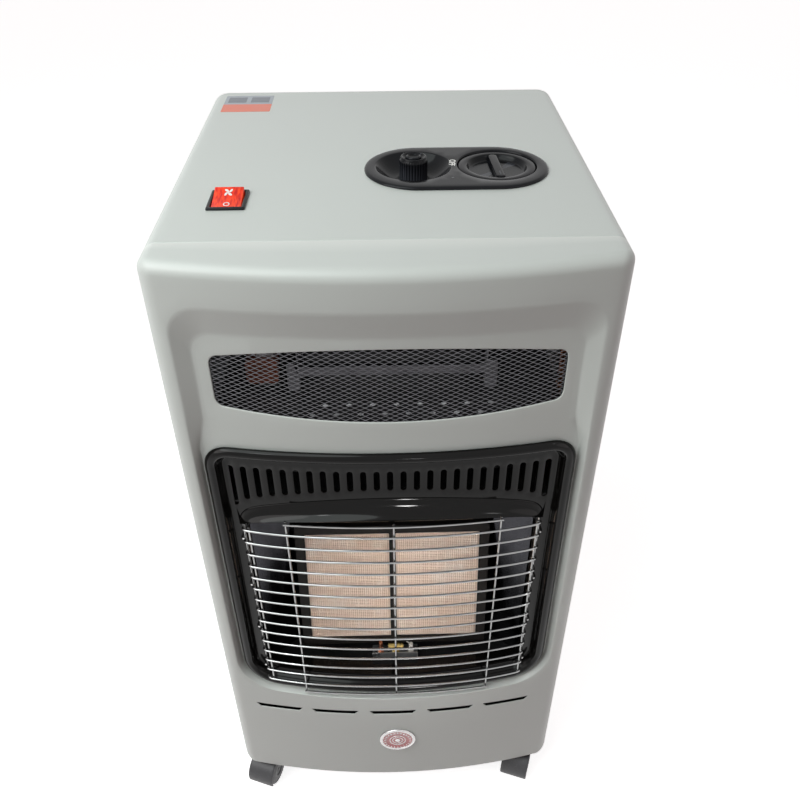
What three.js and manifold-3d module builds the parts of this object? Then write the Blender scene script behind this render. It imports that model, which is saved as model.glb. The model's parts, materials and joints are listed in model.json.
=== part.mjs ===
// A portable gas cabinet heater: radiant plaque burner below, warm-air blower above, gas cylinder bay behind.
// Millimetres, +Z up. The front faces -Y. The origin is on the floor under the middle of the cabinet.
// Everything on the cabinet is drawn from the line between its front corners (y = 0, back is +y) and from
// the bottom edge of its panels (z = 0). The pressed front is drawn flat and bent to its bow afterwards.
import * as THREE from "three";
import { mergeVertices } from "three/addons/utils/BufferGeometryUtils.js";
import Module from "manifold-3d";

const wasm = await Module();
wasm.setup();

// Cabinet
const cabinetWidth = 400;
const cabinetDepth = 430; // front corners to rear cover
const frontBow = 24; // the middle of the front stands this far ahead of its corners
const panelHeight = 735;
const halfWidth = cabinetWidth / 2;
const groundClearance = 52;
const sheet = 1.2; // steel sheet of every panel
const seatGap = 0.3; // rest clearance between neighbouring pieces
const cornerRadius = 14; // upright front edges, in plan
const sideRadius = 12; // top and bottom corners seen from the front
const topEdgeRadius = 11;
const bottomEdgeRadius = 4;
const frontDepth = 32; // how far the front panel's side and top returns reach back
const bendStart = 20; // the bow is full up to here and gone at frontDepth
const bendShares = [-0.785, -0.47, -0.155, 0.155, 0.47, 0.785]; // the bow is a chain of flat strips between
const bendLines = bendShares.map((share) => share * halfWidth); // these shares of the half width
const topSkirt = 22;
const backCornerRadius = 15;
const flange = 14;

// Front pressing, as heights above the panel's bottom edge
const pressDepth = 10;
const pressOuter = { halfWidth: halfWidth - 17, bottom: 170, top: panelHeight - 35, topRadius: 30,
  bottomRadius: 44, sag: 9 };
const pressInner = { halfWidth: halfWidth - 23.5, bottom: 174, top: panelHeight - 69, topRadius: 24,
  bottomRadius: 40, sag: 9 };
const outlet = { halfWidth: halfWidth - 45, sideTop: panelHeight - 87, midTop: panelHeight - 75,
  sideBottom: panelHeight - 138, midBottom: panelHeight - 156, radius: 8 };
const ventCentres = [-140, -72.5, -3, 66, 134];
const ventLength = 54;
const ventHeight = 7;
const ventBottom = 139;
const badgePlace = { x: 2, z: 82.5, radius: 22.3 };

// Burner surround and guard
const surroundWall = 1.6;
const surroundEdge = 2; // clearance to the side walls of the pressing
const surroundTop = panelHeight - 188;
const surroundFace = 16; // depth of the slotted face behind the front
const mouth = { halfWidth: halfWidth - 50, sideTop: panelHeight - 289, midTop: panelHeight - 274,
  sideBottom: 200, midBottom: 195, radius: 22 };
const slotPitch = 12.7;
const slotWidth = 7.5;
const slotCount = 1 + 2 * Math.floor((mouth.halfWidth + 5) / slotPitch);
const slotTop = surroundTop - 28;
const slotGap = 8; // from the hood's crease up to the slots
const hoodReach = 14;
const guardWire = 2.6;
const guardPitch = 17.2;
const guardBottom = mouth.midBottom - 12;
const guardWires = 1 + Math.round((mouth.midTop - guardBottom) / guardPitch);
const guardEnd = mouth.halfWidth + 1;
const guardUprights = [2 - guardEnd, -105, 1, 112, guardEnd - 2];
const guardLegX = mouth.halfWidth + 3;
const guardLegs = [2, 6, 10, 14]; // the wires that the legs start from, counted from 0 at the bottom

// Outlet mesh: strands are drawn at a coarser pitch than the woven one
const meshPitchX = 38;
const meshPitchZ = 19;
const meshStrand = 2;
const meshThickness = 1.2;
const meshBorder = 4;

// Inside
const bulkheadY = 118;
const bulkheadTop = panelHeight - 45;
const fireboxHalfWidth = mouth.halfWidth + 6;
const fireboxBottom = mouth.midBottom - 9;
const fireboxTop = mouth.midTop + 9;
const ductFloorZ = outlet.midBottom - 8;
const ductHalfWidth = outlet.halfWidth + 5;
const plaqueWidth = 92;
const plaqueHeight = 150;
const plaqueThickness = 13;
const plaqueSpacing = 6; // divider between the two plaques
const plaqueTilt = THREE.MathUtils.degToRad(9.6);
const plaqueFoot = { y: 30, z: mouth.midBottom + 26 }; // lower front edge of the plaques
const plenumDepth = 30;
const mixingTube = { y: 72, z: fireboxBottom + 15, radius: 9, wall: 1.4, from: -40,
  to: fireboxHalfWidth - 4 };
const pipeRadius = 3;
const leadRadius = 1.6;
const pilotX = 2;
const pilotY = 24;
const blower = { y: 78, z: ductFloorZ + 41, radius: 26, from: -83, to: 89 };
const bladeCount = 14;
const bracketY = 44;
const motorStack = { x0: -122, x1: -106, reach: 34, bore: 12, poleBack: 58 }; // x0 and x1 are its two faces

// Controls
const bezel = { x: halfWidth - 132, y: 181, length: 176, width: 103, rim: 3, floor: panelHeight - 16,
  dish: panelHeight - 11, dishRadius: 36 };
const bezelInset = 4.5; // rim overlap on the top panel
const dial = { x: bezel.x + 39, y: bezel.y + 2, radius: 37.3, bottom: bezel.dish + 5.5, top: bezel.dish + 13,
  barWidth: 12 };
const dialTurn = THREE.MathUtils.degToRad(-13.5); // the finger bar at rest, from straight back
const igniter = { x: bezel.x - 41, y: bezel.y + 2, radius: 13.5, top: bezel.dish + 26, buttonRadius: 7.2,
  travel: 7, flutes: 15, terminal: bezel.floor - 48 };
const rockerSwitch = { x: 60 - halfWidth, y: 113, width: 34, length: 41, height: 2.4, bodyDepth: 26 };
const rockerTilt = THREE.MathUtils.degToRad(10.5);

// Casters
const casterX = halfWidth - 30;
const casterInset = 24; // stems stand this far from the front corners and from the back
const casterTrail = 15;
const wheelRadius = 20;
const wheelWidth = 13;
const forkWidth = 8;
const axleRadius = 3;
const stemRadius = 4;
const casterAngles = { front_left: -20, front_right: -20, rear_left: 25, rear_right: -40 };

// Rear cover
const coverHalfWidth = halfWidth - 18;
const coverBottom = 8;
const coverTop = panelHeight - 135;
const coverFlange = 15;
const coverPin = { y: cabinetDepth - 3, z: 14, radius: 2.5 };
const grip = { z: coverTop - 55, width: 100, height: 28 };
const louvre = { low: 120, pitch: 30, length: 90, height: 7 };

const innerHalf = halfWidth - sheet;
const pi = Math.PI;

const finishes = {
  paint: new THREE.MeshStandardMaterial({ color: 0xc4cbc6, roughness: 0.45, metalness: 0.1 }),
  enamel: new THREE.MeshStandardMaterial({ color: 0x0d0d0d, roughness: 0.12, metalness: 0.1 }),
  chrome: new THREE.MeshStandardMaterial({ color: 0xd8d8d8, roughness: 0.12, metalness: 1 }),
  steel: new THREE.MeshStandardMaterial({ color: 0xa8abad, roughness: 0.35, metalness: 0.9 }),
  blackSteel: new THREE.MeshStandardMaterial({ color: 0x2b2c2d, roughness: 0.6, metalness: 0.6 }),
  brass: new THREE.MeshStandardMaterial({ color: 0xb8964e, roughness: 0.35, metalness: 0.9 }),
  copper: new THREE.MeshStandardMaterial({ color: 0xb06a4a, roughness: 0.35, metalness: 0.9 }),
  winding: new THREE.MeshStandardMaterial({ color: 0x9a4a2c, roughness: 0.5, metalness: 0.2 }),
  ceramic: new THREE.MeshStandardMaterial({ color: 0xc9b6a2, roughness: 0.9, metalness: 0 }),
  porcelain: new THREE.MeshStandardMaterial({ color: 0xe6e2da, roughness: 0.4, metalness: 0 }),
  plastic: new THREE.MeshStandardMaterial({ color: 0x1b1c1e, roughness: 0.4, metalness: 0 }),
  rocker: new THREE.MeshStandardMaterial({ color: 0xd81e14, roughness: 0.25, metalness: 0 }),
  badge: new THREE.MeshStandardMaterial({ color: 0xb9464e, roughness: 0.3, metalness: 0 }),
  tyre: new THREE.MeshStandardMaterial({ color: 0x3a3a3c, roughness: 0.6, metalness: 0 }),
};

const model = new THREE.Group();
const cabinet = new THREE.Group();
cabinet.position.set(0, (frontBow - cabinetDepth) / 2, groundClearance);
model.add(cabinet);

// Solids

function signedVolume(positions, indices) {
  const [a, b, c] = [new THREE.Vector3(), new THREE.Vector3(), new THREE.Vector3()];
  let sum = 0;
  for (let i = 0; i < indices.length; i += 3) {
    a.fromArray(positions, indices[i] * 3);
    b.fromArray(positions, indices[i + 1] * 3);
    c.fromArray(positions, indices[i + 2] * 3);
    sum += a.dot(b.cross(c));
  }
  return sum / 6;
}

function solidOf(geometry) {
  const bare = geometry.index ? geometry.toNonIndexed() : geometry.clone();
  bare.deleteAttribute("normal");
  bare.deleteAttribute("uv");
  const merged = mergeVertices(bare, 1e-4);
  const positions = merged.attributes.position.array;
  const corners = [];
  for (let i = 0; i < merged.index.count; i += 3) {
    const [a, b, c] = [0, 1, 2].map((k) => merged.index.array[i + k]);
    if (a !== b && b !== c && c !== a) corners.push(a, b, c);
  }
  if (signedVolume(positions, corners) < 0) corners.reverse();
  return new wasm.Manifold(
    new wasm.Mesh({ numProp: 3, vertProperties: positions, triVerts: new Uint32Array(corners) }),
  );
}

function geometryOf(solid) {
  const { vertProperties, triVerts } = solid.getMesh();
  const geometry = new THREE.BufferGeometry();
  geometry.setAttribute("position", new THREE.BufferAttribute(new Float32Array(vertProperties), 3));
  geometry.setIndex(new THREE.BufferAttribute(new Uint32Array(triVerts), 1));
  geometry.computeVertexNormals();
  return geometry;
}

function join(...solids) {
  return solids.reduce((whole, next) => whole.add(next));
}

function cut(solid, ...tools) {
  return tools.reduce((rest, tool) => rest.subtract(tool), solid);
}

function moved(solid, matrix) {
  return solidOf(geometryOf(solid).applyMatrix4(matrix));
}

function shifted(solid, x, y, z) {
  return moved(solid, new THREE.Matrix4().makeTranslation(x, y, z));
}

function addPiece(name, solid, finish, parent = cabinet) {
  const mesh = new THREE.Mesh(geometryOf(solid), finish);
  mesh.name = name;
  parent.add(mesh);
}

function block(x0, x1, y0, y1, z0, z1) {
  const geometry = new THREE.BoxGeometry(x1 - x0, y1 - y0, z1 - z0);
  return solidOf(geometry.translate((x0 + x1) / 2, (y0 + y1) / 2, (z0 + z1) / 2));
}

// The same slab on the left (side -1) or on the right (side 1), between two distances from the middle.
function slab(side, near, far, y0, y1, z0, z1) {
  return block(Math.min(side * near, side * far), Math.max(side * near, side * far), y0, y1, z0, z1);
}

function bothSides(make) {
  return [-1, 1].map(make);
}

function extruded(shape, length, curveSegments) {
  return new THREE.ExtrudeGeometry(shape, { depth: length, bevelEnabled: false, curveSegments });
}

// A shape drawn in plan (x, y), seen from the front (x, z) or seen from the side (y, z).
// Each arc in it gets twice as many sides as segments.
function planPrism(shape, z0, z1, segments = 2) {
  return solidOf(extruded(shape, z1 - z0, segments).translate(0, 0, z0));
}

function frontPrism(shape, y0, y1, segments = 2) {
  return solidOf(extruded(shape, y1 - y0, segments).rotateX(pi / 2).translate(0, y1, 0));
}

function sidePrism(shape, x0, x1, segments = 2) {
  return solidOf(extruded(shape, x1 - x0, segments).rotateX(pi / 2).rotateZ(pi / 2).translate(x0, 0, 0));
}

function rod(from, to, radius, sides = 12, endRadius = radius) {
  const start = new THREE.Vector3(...from);
  const along = new THREE.Vector3(...to).sub(start);
  const geometry = new THREE.CylinderGeometry(endRadius, radius, along.length(), sides);
  const up = new THREE.Vector3(0, 1, 0);
  geometry.translate(0, along.length() / 2, 0);
  geometry.applyQuaternion(new THREE.Quaternion().setFromUnitVectors(up, along.normalize()));
  return solidOf(geometry.translate(start.x, start.y, start.z));
}

// A profile of [radius, height] points turned about a vertical axis.
function turned(profile, x, y, segments = 24) {
  const points = profile.map(([radius, height]) => new THREE.Vector2(radius, height));
  return solidOf(new THREE.LatheGeometry(points, segments).rotateX(pi / 2).translate(x, y, 0));
}

// Skins a stack of rings with equal numbers of points. The end rings are convex, or flatten gives their
// points in their own plane.
function loft(rings, flatten) {
  const count = rings[0].length;
  const positions = rings.flat().flatMap((p) => [p.x, p.y, p.z]);
  const indices = [];
  for (let r = 0; r + 1 < rings.length; r++)
    for (let i = 0; i < count; i++) {
      const [a, b] = [r * count + i, r * count + ((i + 1) % count)];
      indices.push(a, b, b + count, a, b + count, a + count);
    }
  const cap = flatten
    ? (ring) => THREE.ShapeUtils.triangulateShape(ring.map(flatten), [])
    : (ring) => ring.slice(2).map((_, i) => [0, i + 1, i + 2]);
  const last = (rings.length - 1) * count;
  for (const [a, b, c] of cap(rings[0])) indices.push(c, b, a);
  for (const [a, b, c] of cap(rings.at(-1))) indices.push(last + a, last + b, last + c);
  const geometry = new THREE.BufferGeometry();
  geometry.setAttribute("position", new THREE.Float32BufferAttribute(positions, 3));
  return solidOf(geometry.setIndex(indices));
}

// A round pipe along straight runs, with its corners rounded.
function pipe(corners, radius, bendRadius = 12, sides = 6) {
  const points = corners.map((p) => new THREE.Vector3(...p));
  const path = [points[0]];
  for (let i = 1; i + 1 < points.length; i++) {
    const [before, corner, after] = points.slice(i - 1, i + 2);
    const reach = Math.min(bendRadius, corner.distanceTo(before) * 0.45, corner.distanceTo(after) * 0.45);
    const start = corner.clone().add(before.clone().sub(corner).setLength(reach));
    const end = corner.clone().add(after.clone().sub(corner).setLength(reach));
    for (const t of [0, 0.5, 1]) path.push(new THREE.QuadraticBezierCurve3(start, corner, end).getPoint(t));
  }
  path.push(points.at(-1));
  const headings = path.map((p, i) =>
    (path[i + 1] ?? p).clone().sub(path[i - 1] ?? p).normalize());
  const across = new THREE.Vector3(0.31, 0.17, 0.93).cross(headings[0]).normalize();
  const rings = path.map((p, i) => {
    if (i) across.applyQuaternion(new THREE.Quaternion().setFromUnitVectors(headings[i - 1], headings[i]));
    const up = headings[i].clone().cross(across);
    return Array.from({ length: sides }, (_, k) => {
      const angle = (2 * pi * k) / sides;
      const [u, v] = [radius * Math.cos(angle), radius * Math.sin(angle)];
      return p.clone().addScaledVector(across, u).addScaledVector(up, v);
    });
  });
  return loft(rings);
}

function rectangle(u0, u1, v0, v1, radius = 0) {
  const shape = new THREE.Shape();
  if (!radius) {
    shape.moveTo(u0, v0);
    for (const [u, v] of [[u1, v0], [u1, v1], [u0, v1]]) shape.lineTo(u, v);
    return shape;
  }
  shape.moveTo(u0 + radius, v0);
  shape.absarc(u1 - radius, v0 + radius, radius, -pi / 2, 0);
  shape.absarc(u1 - radius, v1 - radius, radius, 0, pi / 2);
  shape.absarc(u0 + radius, v1 - radius, radius, pi / 2, pi);
  shape.absarc(u0 + radius, v0 + radius, radius, pi, 1.5 * pi);
  return shape;
}

function obround(u, v, length, width) {
  const shape = new THREE.Shape();
  const reach = (length - width) / 2;
  shape.absarc(u + reach, v, width / 2, -pi / 2, pi / 2);
  shape.absarc(u - reach, v, width / 2, pi / 2, 1.5 * pi);
  return shape;
}

function upright(x, low, high, width) {
  const shape = new THREE.Shape();
  const radius = width / 2;
  shape.absarc(x, high - radius, radius, 0, pi);
  shape.absarc(x, low + radius, radius, pi, 2 * pi);
  return shape;
}

// The outline of the outlet and of the burner mouth: an arched top, a sagging bottom and round corners.
function lens({ halfWidth: w, sideTop, midTop, sideBottom, midBottom, radius: r }, grow = 0) {
  const x = w + grow;
  const [high, low] = [sideTop + grow, sideBottom - grow];
  const across = [r - x, ...bendLines.filter((line) => Math.abs(line) < x - r), x - r];
  const arch = (rise) => across.map((u) => [u, rise * (1 - (u / (x - r)) ** 2)]);
  const shape = new THREE.Shape();
  const corner = (a, b, c) => {
    const curve = new THREE.QuadraticBezierCurve(...[a, b, c].map((p) => new THREE.Vector2(...p)));
    for (const t of [0.3, 0.7, 1]) shape.lineTo(...curve.getPoint(t).toArray());
  };
  shape.moveTo(r - x, high);
  for (const [u, v] of arch(midTop - sideTop).slice(1)) shape.lineTo(u, high + v);
  corner([x - r, high], [x, high], [x, high - r]);
  shape.lineTo(x, low + r);
  corner([x, low + r], [x, low], [x - r, low]);
  for (const [u, v] of arch(midBottom - sideBottom).reverse().slice(1)) shape.lineTo(u, low + v);
  corner([r - x, low], [-x, low], [-x, low + r]);
  shape.lineTo(-x, high - r);
  corner([-x, high - r], [-x, high], [r - x, high]);
  return shape;
}

// The outline of the pressing and of the burner surround, whose bottom edge lifts towards its ends.
function frameOutline(frame, inset) {
  const w = frame.halfWidth - inset;
  const [low, high] = [frame.bottom + inset, frame.top - inset];
  const cornerSteps = 4;
  const edgeSteps = 6;
  const points = [];
  const corners = [
    [1, -1, frame.bottomRadius],
    [1, 1, frame.topRadius],
    [-1, 1, frame.topRadius],
    [-1, -1, frame.bottomRadius],
  ];
  corners.forEach(([sideX, sideZ, outerRadius], corner) => {
    const radius = Math.max(outerRadius - inset, 2);
    const centreX = sideX * (w - radius);
    const centreZ = sideZ > 0 ? high - radius : low + radius;
    for (let i = 0; i <= cornerSteps; i++) {
      const angle = ((corner - 1 + i / cornerSteps) * pi) / 2;
      points.push(new THREE.Vector2(centreX + radius * Math.cos(angle), centreZ + radius * Math.sin(angle)));
    }
  });
  const [end, start] = [points.at(-1), points[0]];
  for (let i = 1; i < edgeSteps; i++) points.push(end.clone().lerp(start, i / edgeSteps));
  const middle = (low + high) / 2;
  for (const p of points) if (p.y < middle) p.y += frame.sag * (p.x / frame.halfWidth) ** 2;
  return points;
}

function mixFrames(a, b, share) {
  return Object.fromEntries(Object.keys(a).map((key) => [key, a[key] + (b[key] - a[key]) * share]));
}

function frameRing(frame, inset, y) {
  return frameOutline(frame, inset).map((p) => new THREE.Vector3(p.x, y, p.y));
}

function frontLoft(rings) {
  return loft(rings, (p) => new THREE.Vector2(p.x, p.z));
}

// Bending

function bowAt(x, y = 0) {
  const lines = [-halfWidth, ...bendLines, halfWidth];
  const k = THREE.MathUtils.clamp(lines.findIndex((line) => line >= x), 1, lines.length - 1);
  const [left, right] = [lines[k - 1], lines[k]];
  const [a, b] = [left, right].map((line) => -frontBow * (1 - (line / halfWidth) ** 2));
  const fade = THREE.MathUtils.clamp((frontDepth - y) / (frontDepth - bendStart), 0, 1);
  return fade * (a + ((b - a) * (x - left)) / (right - left));
}

// Bends a piece drawn flat to the bow of the front, strip by strip.
function bend(flat) {
  const lines = [-halfWidth - 5, ...bendLines, halfWidth + 5];
  const near = 1e-3;
  const strips = lines.slice(1).map((right, k) => {
    const strip = geometryOf(flat.intersect(block(lines[k], right, -100, 600, -100, 900)));
    const points = strip.attributes.position;
    for (let i = 0; i < points.count; i++) {
      const x = bendLines.find((line) => Math.abs(points.getX(i) - line) < near) ?? points.getX(i);
      points.setXYZ(i, x, points.getY(i) + bowAt(x, points.getY(i)), points.getZ(i));
    }
    return solidOf(strip);
  });
  return join(...strips);
}

// A plan whose front edge follows the bow.
function bowedPlan(x, front, back) {
  const shape = new THREE.Shape();
  shape.moveTo(x, back);
  shape.lineTo(-x, back);
  const lines = [-x, ...bendLines.filter((line) => Math.abs(line) < x), x];
  for (const line of lines) shape.lineTo(line, front + bowAt(line));
  return shape;
}

// Cabinet panels

function frontBlock(inset, back) {
  const [x, radius] = [halfWidth - inset, cornerRadius - inset];
  const plan = new THREE.Shape();
  plan.moveTo(x, back);
  plan.lineTo(-x, back);
  plan.absarc(-x + radius, inset + radius, radius, pi, 1.5 * pi);
  plan.absarc(x - radius, inset + radius, radius, 1.5 * pi, 2 * pi);
  const [low, high] = [inset, panelHeight - inset];
  const [topRadius, bottomRadius] = [topEdgeRadius - inset, bottomEdgeRadius - inset];
  const profile = new THREE.Shape();
  profile.moveTo(back, low);
  profile.lineTo(back, high);
  profile.absarc(inset + topRadius, high - topRadius, topRadius, pi / 2, pi);
  profile.absarc(inset + bottomRadius, low + bottomRadius, bottomRadius, pi, 1.5 * pi);
  const face = rectangle(-x, x, low, high, sideRadius - inset);
  return planPrism(plan, low, high)
    .intersect(sidePrism(profile, -x, x))
    .intersect(frontPrism(face, inset, back));
}

function pressing(wall) {
  const steps = 3;
  const grow = -0.7 * wall;
  const rings = [frameRing(pressOuter, grow, wall - 20), frameRing(pressOuter, grow, wall)];
  for (let i = 1; i <= steps; i++) {
    const frame = mixFrames(pressOuter, pressInner, i / steps);
    rings.push(frameRing(frame, grow, wall + (pressDepth * (1 - Math.cos((pi * i) / steps))) / 2));
  }
  return frontLoft(rings);
}

function vent(centre) {
  const [x, taper] = [ventLength / 2, 5];
  const shape = new THREE.Shape();
  shape.moveTo(centre - x + taper, ventBottom);
  shape.lineTo(centre + x - taper, ventBottom);
  shape.lineTo(centre + x, ventBottom + ventHeight);
  shape.lineTo(centre - x, ventBottom + ventHeight);
  return frontPrism(shape, -5, 5);
}

const surround = { ...pressInner, halfWidth: pressInner.halfWidth - surroundEdge,
  bottom: pressInner.bottom + 2.5, top: surroundTop, topRadius: 26, bottomRadius: 38 };
const surroundOverlap = 9; // how far the surround's rim lies over the front panel

function frontPanel() {
  const shell = cut(frontBlock(0, frontDepth).subtract(pressing(0)),
    frontBlock(sheet, frontDepth + 1).subtract(pressing(sheet)));
  const burnerHole = frontLoft([
    frameRing(surround, surroundOverlap, -10),
    frameRing(surround, surroundOverlap, frontDepth),
  ]);
  const bottomReturn = block(-halfWidth + sideRadius, halfWidth - sideRadius, 10, frontDepth + 1, -1, 3);
  const holes = [frontPrism(lens(outlet), -10, 20), burnerHole, bottomReturn, ...ventCentres.map(vent)];
  return bend(cut(shell, ...holes));
}

function topPanel() {
  const lid = (inset) => {
    const [x, back] = [halfWidth - inset, cabinetDepth - inset];
    const radius = backCornerRadius - inset;
    const front = inset ? frontDepth - 1 : frontDepth + seatGap;
    const plan = new THREE.Shape();
    plan.moveTo(-x, front);
    plan.lineTo(x, front);
    plan.absarc(x - radius, back - radius, radius, 0, pi / 2);
    plan.absarc(-x + radius, back - radius, radius, pi / 2, pi);
    const low = panelHeight - topSkirt - (inset ? 1 : 0);
    const face = rectangle(-x, x, low - 40, panelHeight - inset, sideRadius - inset);
    return planPrism(plan, low, panelHeight - inset).intersect(frontPrism(face, 0, cabinetDepth + 1));
  };
  const bezelHole = obround(bezel.x, bezel.y, bezel.length - 2 * bezelInset, bezel.width - 2 * bezelInset);
  const { x, y, width, length } = rockerSwitch;
  const [halfX, halfY] = [width / 2 - 1.7, length / 2 - 1.7];
  const switchHole = rectangle(x - halfX, x + halfX, y - halfY, y + halfY);
  const [low, high] = [panelHeight - 3, panelHeight + 1];
  return cut(lid(0), lid(sheet), planPrism(bezelHole, low, high, 7), planPrism(switchHole, low, high));
}

function sidePanel(side) {
  const top = panelHeight - topSkirt - seatGap;
  const [front, back] = [frontDepth + seatGap, cabinetDepth];
  const wall = slab(side, innerHalf, halfWidth, front, back, 0, top);
  const frontReturn = slab(side, halfWidth - flange, halfWidth, front, front + sheet, 2 * flange, top);
  const rearReturn = slab(side, halfWidth - flange, halfWidth, back - sheet, back, flange, top);
  return join(wall, frontReturn, rearReturn);
}

function basePan() {
  const [x, back] = [innerHalf - seatGap, cabinetDepth - 8];
  const [floor, wall] = [sheet + seatGap, 24];
  const plan = new THREE.Shape();
  const notch = cornerRadius + 5; // clears the front panel's corners
  plan.moveTo(x, back);
  plan.lineTo(-x, back);
  plan.lineTo(-x, frontDepth + seatGap);
  plan.lineTo(-x + flange, frontDepth + seatGap);
  plan.lineTo(-x + notch, 12);
  plan.lineTo(x - notch, 12);
  plan.lineTo(x - flange, frontDepth + seatGap);
  plan.lineTo(x, frontDepth + seatGap);
  const tray = planPrism(plan, floor, floor + sheet);
  const sides = bothSides((side) => slab(side, x - sheet, x, frontDepth + 2, back, floor, floor + wall));
  const earX = coverHalfWidth + seatGap;
  const ears = bothSides((side) => {
    const ear = slab(side, earX, earX + 1.5, back - 12, cabinetDepth - 2, floor, coverPin.z + 6);
    const { y, z, radius } = coverPin;
    return cut(ear, rod([side * (earX - 5), y, z], [side * (earX + 5), y, z], radius + seatGap, 12));
  });
  const stemHoles = stemPlaces().map(([sx, sy]) =>
    rod([sx, sy, -5], [sx, sy, 8], stemRadius + 2 * seatGap, 8));
  return cut(join(tray, ...sides, ...ears), ...stemHoles);
}

function bulkhead() {
  const x = innerHalf - seatGap;
  const foot = 2 * sheet + 2 * seatGap;
  const wall = block(-x, x, bulkheadY, bulkheadY + sheet, foot, bulkheadTop);
  const returns = bothSides((side) =>
    slab(side, x - sheet, x, bulkheadY, bulkheadY + flange, 30, bulkheadTop));
  const lip = block(-x, x, bulkheadY - flange, bulkheadY + sheet, bulkheadTop - sheet, bulkheadTop);
  const air = rectangle(-70, 70, ductFloorZ - 11, ductFloorZ + 29, 12);
  const airHole = frontPrism(air, bulkheadY - 1, bulkheadY + 2);
  const pipeNotch = block(halfWidth - 52, halfWidth - 4, bulkheadY - flange - 1, bulkheadY + 2,
    bulkheadTop - 12, bulkheadTop + 1);
  const feet = bothSides((side) => slab(side, x - 3, x + 1, bulkheadY - 20, bulkheadY + flange + 1, 0, 29));
  return cut(join(wall, ...returns, lip), airHole, pipeNotch, ...feet);
}

function rearCover() {
  const face = cabinetDepth - sheet;
  const [x, low, high] = [coverHalfWidth, coverBottom, coverTop];
  const tray = cut(block(-x, x, cabinetDepth - coverFlange, cabinetDepth, low, high),
    block(-x + sheet, x - sheet, cabinetDepth - coverFlange - 1, face, low - 1, high - sheet));
  const louvres = [];
  for (const column of [6 - x / 2, x / 2 - 6])
    for (let row = 0; row < 7; row++) {
      const slot = obround(column, louvre.low + row * louvre.pitch, louvre.length, louvre.height);
      louvres.push(frontPrism(slot, face - 1, cabinetDepth + 1, 1));
    }
  const gripHole = frontPrism(obround(0, grip.z, grip.width, grip.height), face - 1, cabinetDepth + 1, 3);
  const { y, z, radius } = coverPin;
  const pins = bothSides((side) => rod([side * (x - 1), y, z], [side * (x + 3), y, z], radius, 12));
  const foot = block(-x - 1, x + 1, cabinetDepth - coverFlange - 1, y - 5, low - 1, z + 6);
  return join(cut(tray, ...louvres, gripHole, foot), ...pins);
}

// Burner

// The hood's lip and crease, and how far it reaches out, at a distance from the middle
function hoodAt(x) {
  const share = (x / mouth.halfWidth) ** 2;
  const lowZ = mouth.midTop + 1 - (mouth.midTop - mouth.sideTop) * share;
  return { lowZ, highZ: lowZ + 23 - 9 * share, reach: hoodReach * (1 - 0.55 * share) };
}

function hood() {
  const [steps, arc] = [8, 3];
  const rings = [];
  for (let i = 0; i <= steps; i++) {
    const x = guardEnd * (-1 + (2 * i) / steps);
    const { lowZ, highZ, reach } = hoodAt(x);
    const point = (angle, inner) =>
      new THREE.Vector3(x, surroundFace + (inner ? surroundWall : 0) - reach * Math.sin(angle),
        lowZ + (highZ - lowZ - (inner ? surroundWall : 0)) * Math.cos(angle));
    const ring = [];
    for (let k = 0; k <= arc; k++) ring.push(point(((pi / 2) * k) / arc, false));
    for (let k = arc; k >= 0; k--) ring.push(point(((pi / 2) * k) / arc, true));
    rings.push(ring);
  }
  return loft(rings, (p) => new THREE.Vector2(p.y, p.z));
}

function burnerSurround() {
  // Inset from the rim and depth of each step of the dish
  const rise = [[0, pressDepth - seatGap - surroundWall], [2.5, 4], [7, 3], [17, surroundFace]];
  const dished = (wall) => frontLoft([
    frameRing(surround, wall ? -1 : 0, 45 + wall),
    ...(wall ? [frameRing(surround, -1, rise[0][1] + wall)] : []),
    ...rise.map(([inset, depth]) => frameRing(surround, inset, depth + wall)),
  ]);
  const shell = dished(0).subtract(dished(surroundWall));
  const opening = frontPrism(lens(mouth), 0, 40);
  const collar = cut(frontPrism(lens(mouth, surroundWall), surroundFace, surroundFace + 10), opening);
  const slots = [];
  for (let i = 0; i < slotCount; i++) {
    const x = (i - (slotCount - 1) / 2) * slotPitch;
    slots.push(frontPrism(upright(x, hoodAt(x).highZ + slotGap, slotTop, slotWidth), 0, 30, 1));
  }
  return bend(cut(join(cut(shell, opening), collar, hood()), ...slots));
}

function wireGuard() {
  const [r, end] = [guardWire / 2, guardEnd];
  const wires = [];
  const wireZ = (i) => guardBottom + i * guardPitch;
  const last = guardWires - 1;
  const innerUprights = guardUprights.slice(1, -1);
  for (let i = 0; i <= last; i++) {
    const short = i === 0 || i === last; // the top and bottom wires end at the second uprights
    const [left, right] = short ? [innerUprights[0] - r, innerUprights.at(-1) + r] : [-end, end];
    wires.push(block(left, right, -r, r, wireZ(i) - r, wireZ(i) + r));
  }
  for (const x of guardUprights) {
    const skip = innerUprights.includes(x) ? 0 : 1;
    wires.push(block(x - r, x + r, 0, 2 * r, wireZ(skip) - 3, wireZ(last - skip) + 3));
  }
  wires.push(...bothSides((side) => join(...guardLegs.map(wireZ).flatMap((z) => [
    slab(side, end - 3, guardLegX + r, 0, 2 * r, z - r, z + r),
    slab(side, guardLegX - r, guardLegX + r, 0, surroundFace - seatGap, z - r, z + r),
  ]))));
  return bend(join(...wires));
}

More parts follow.
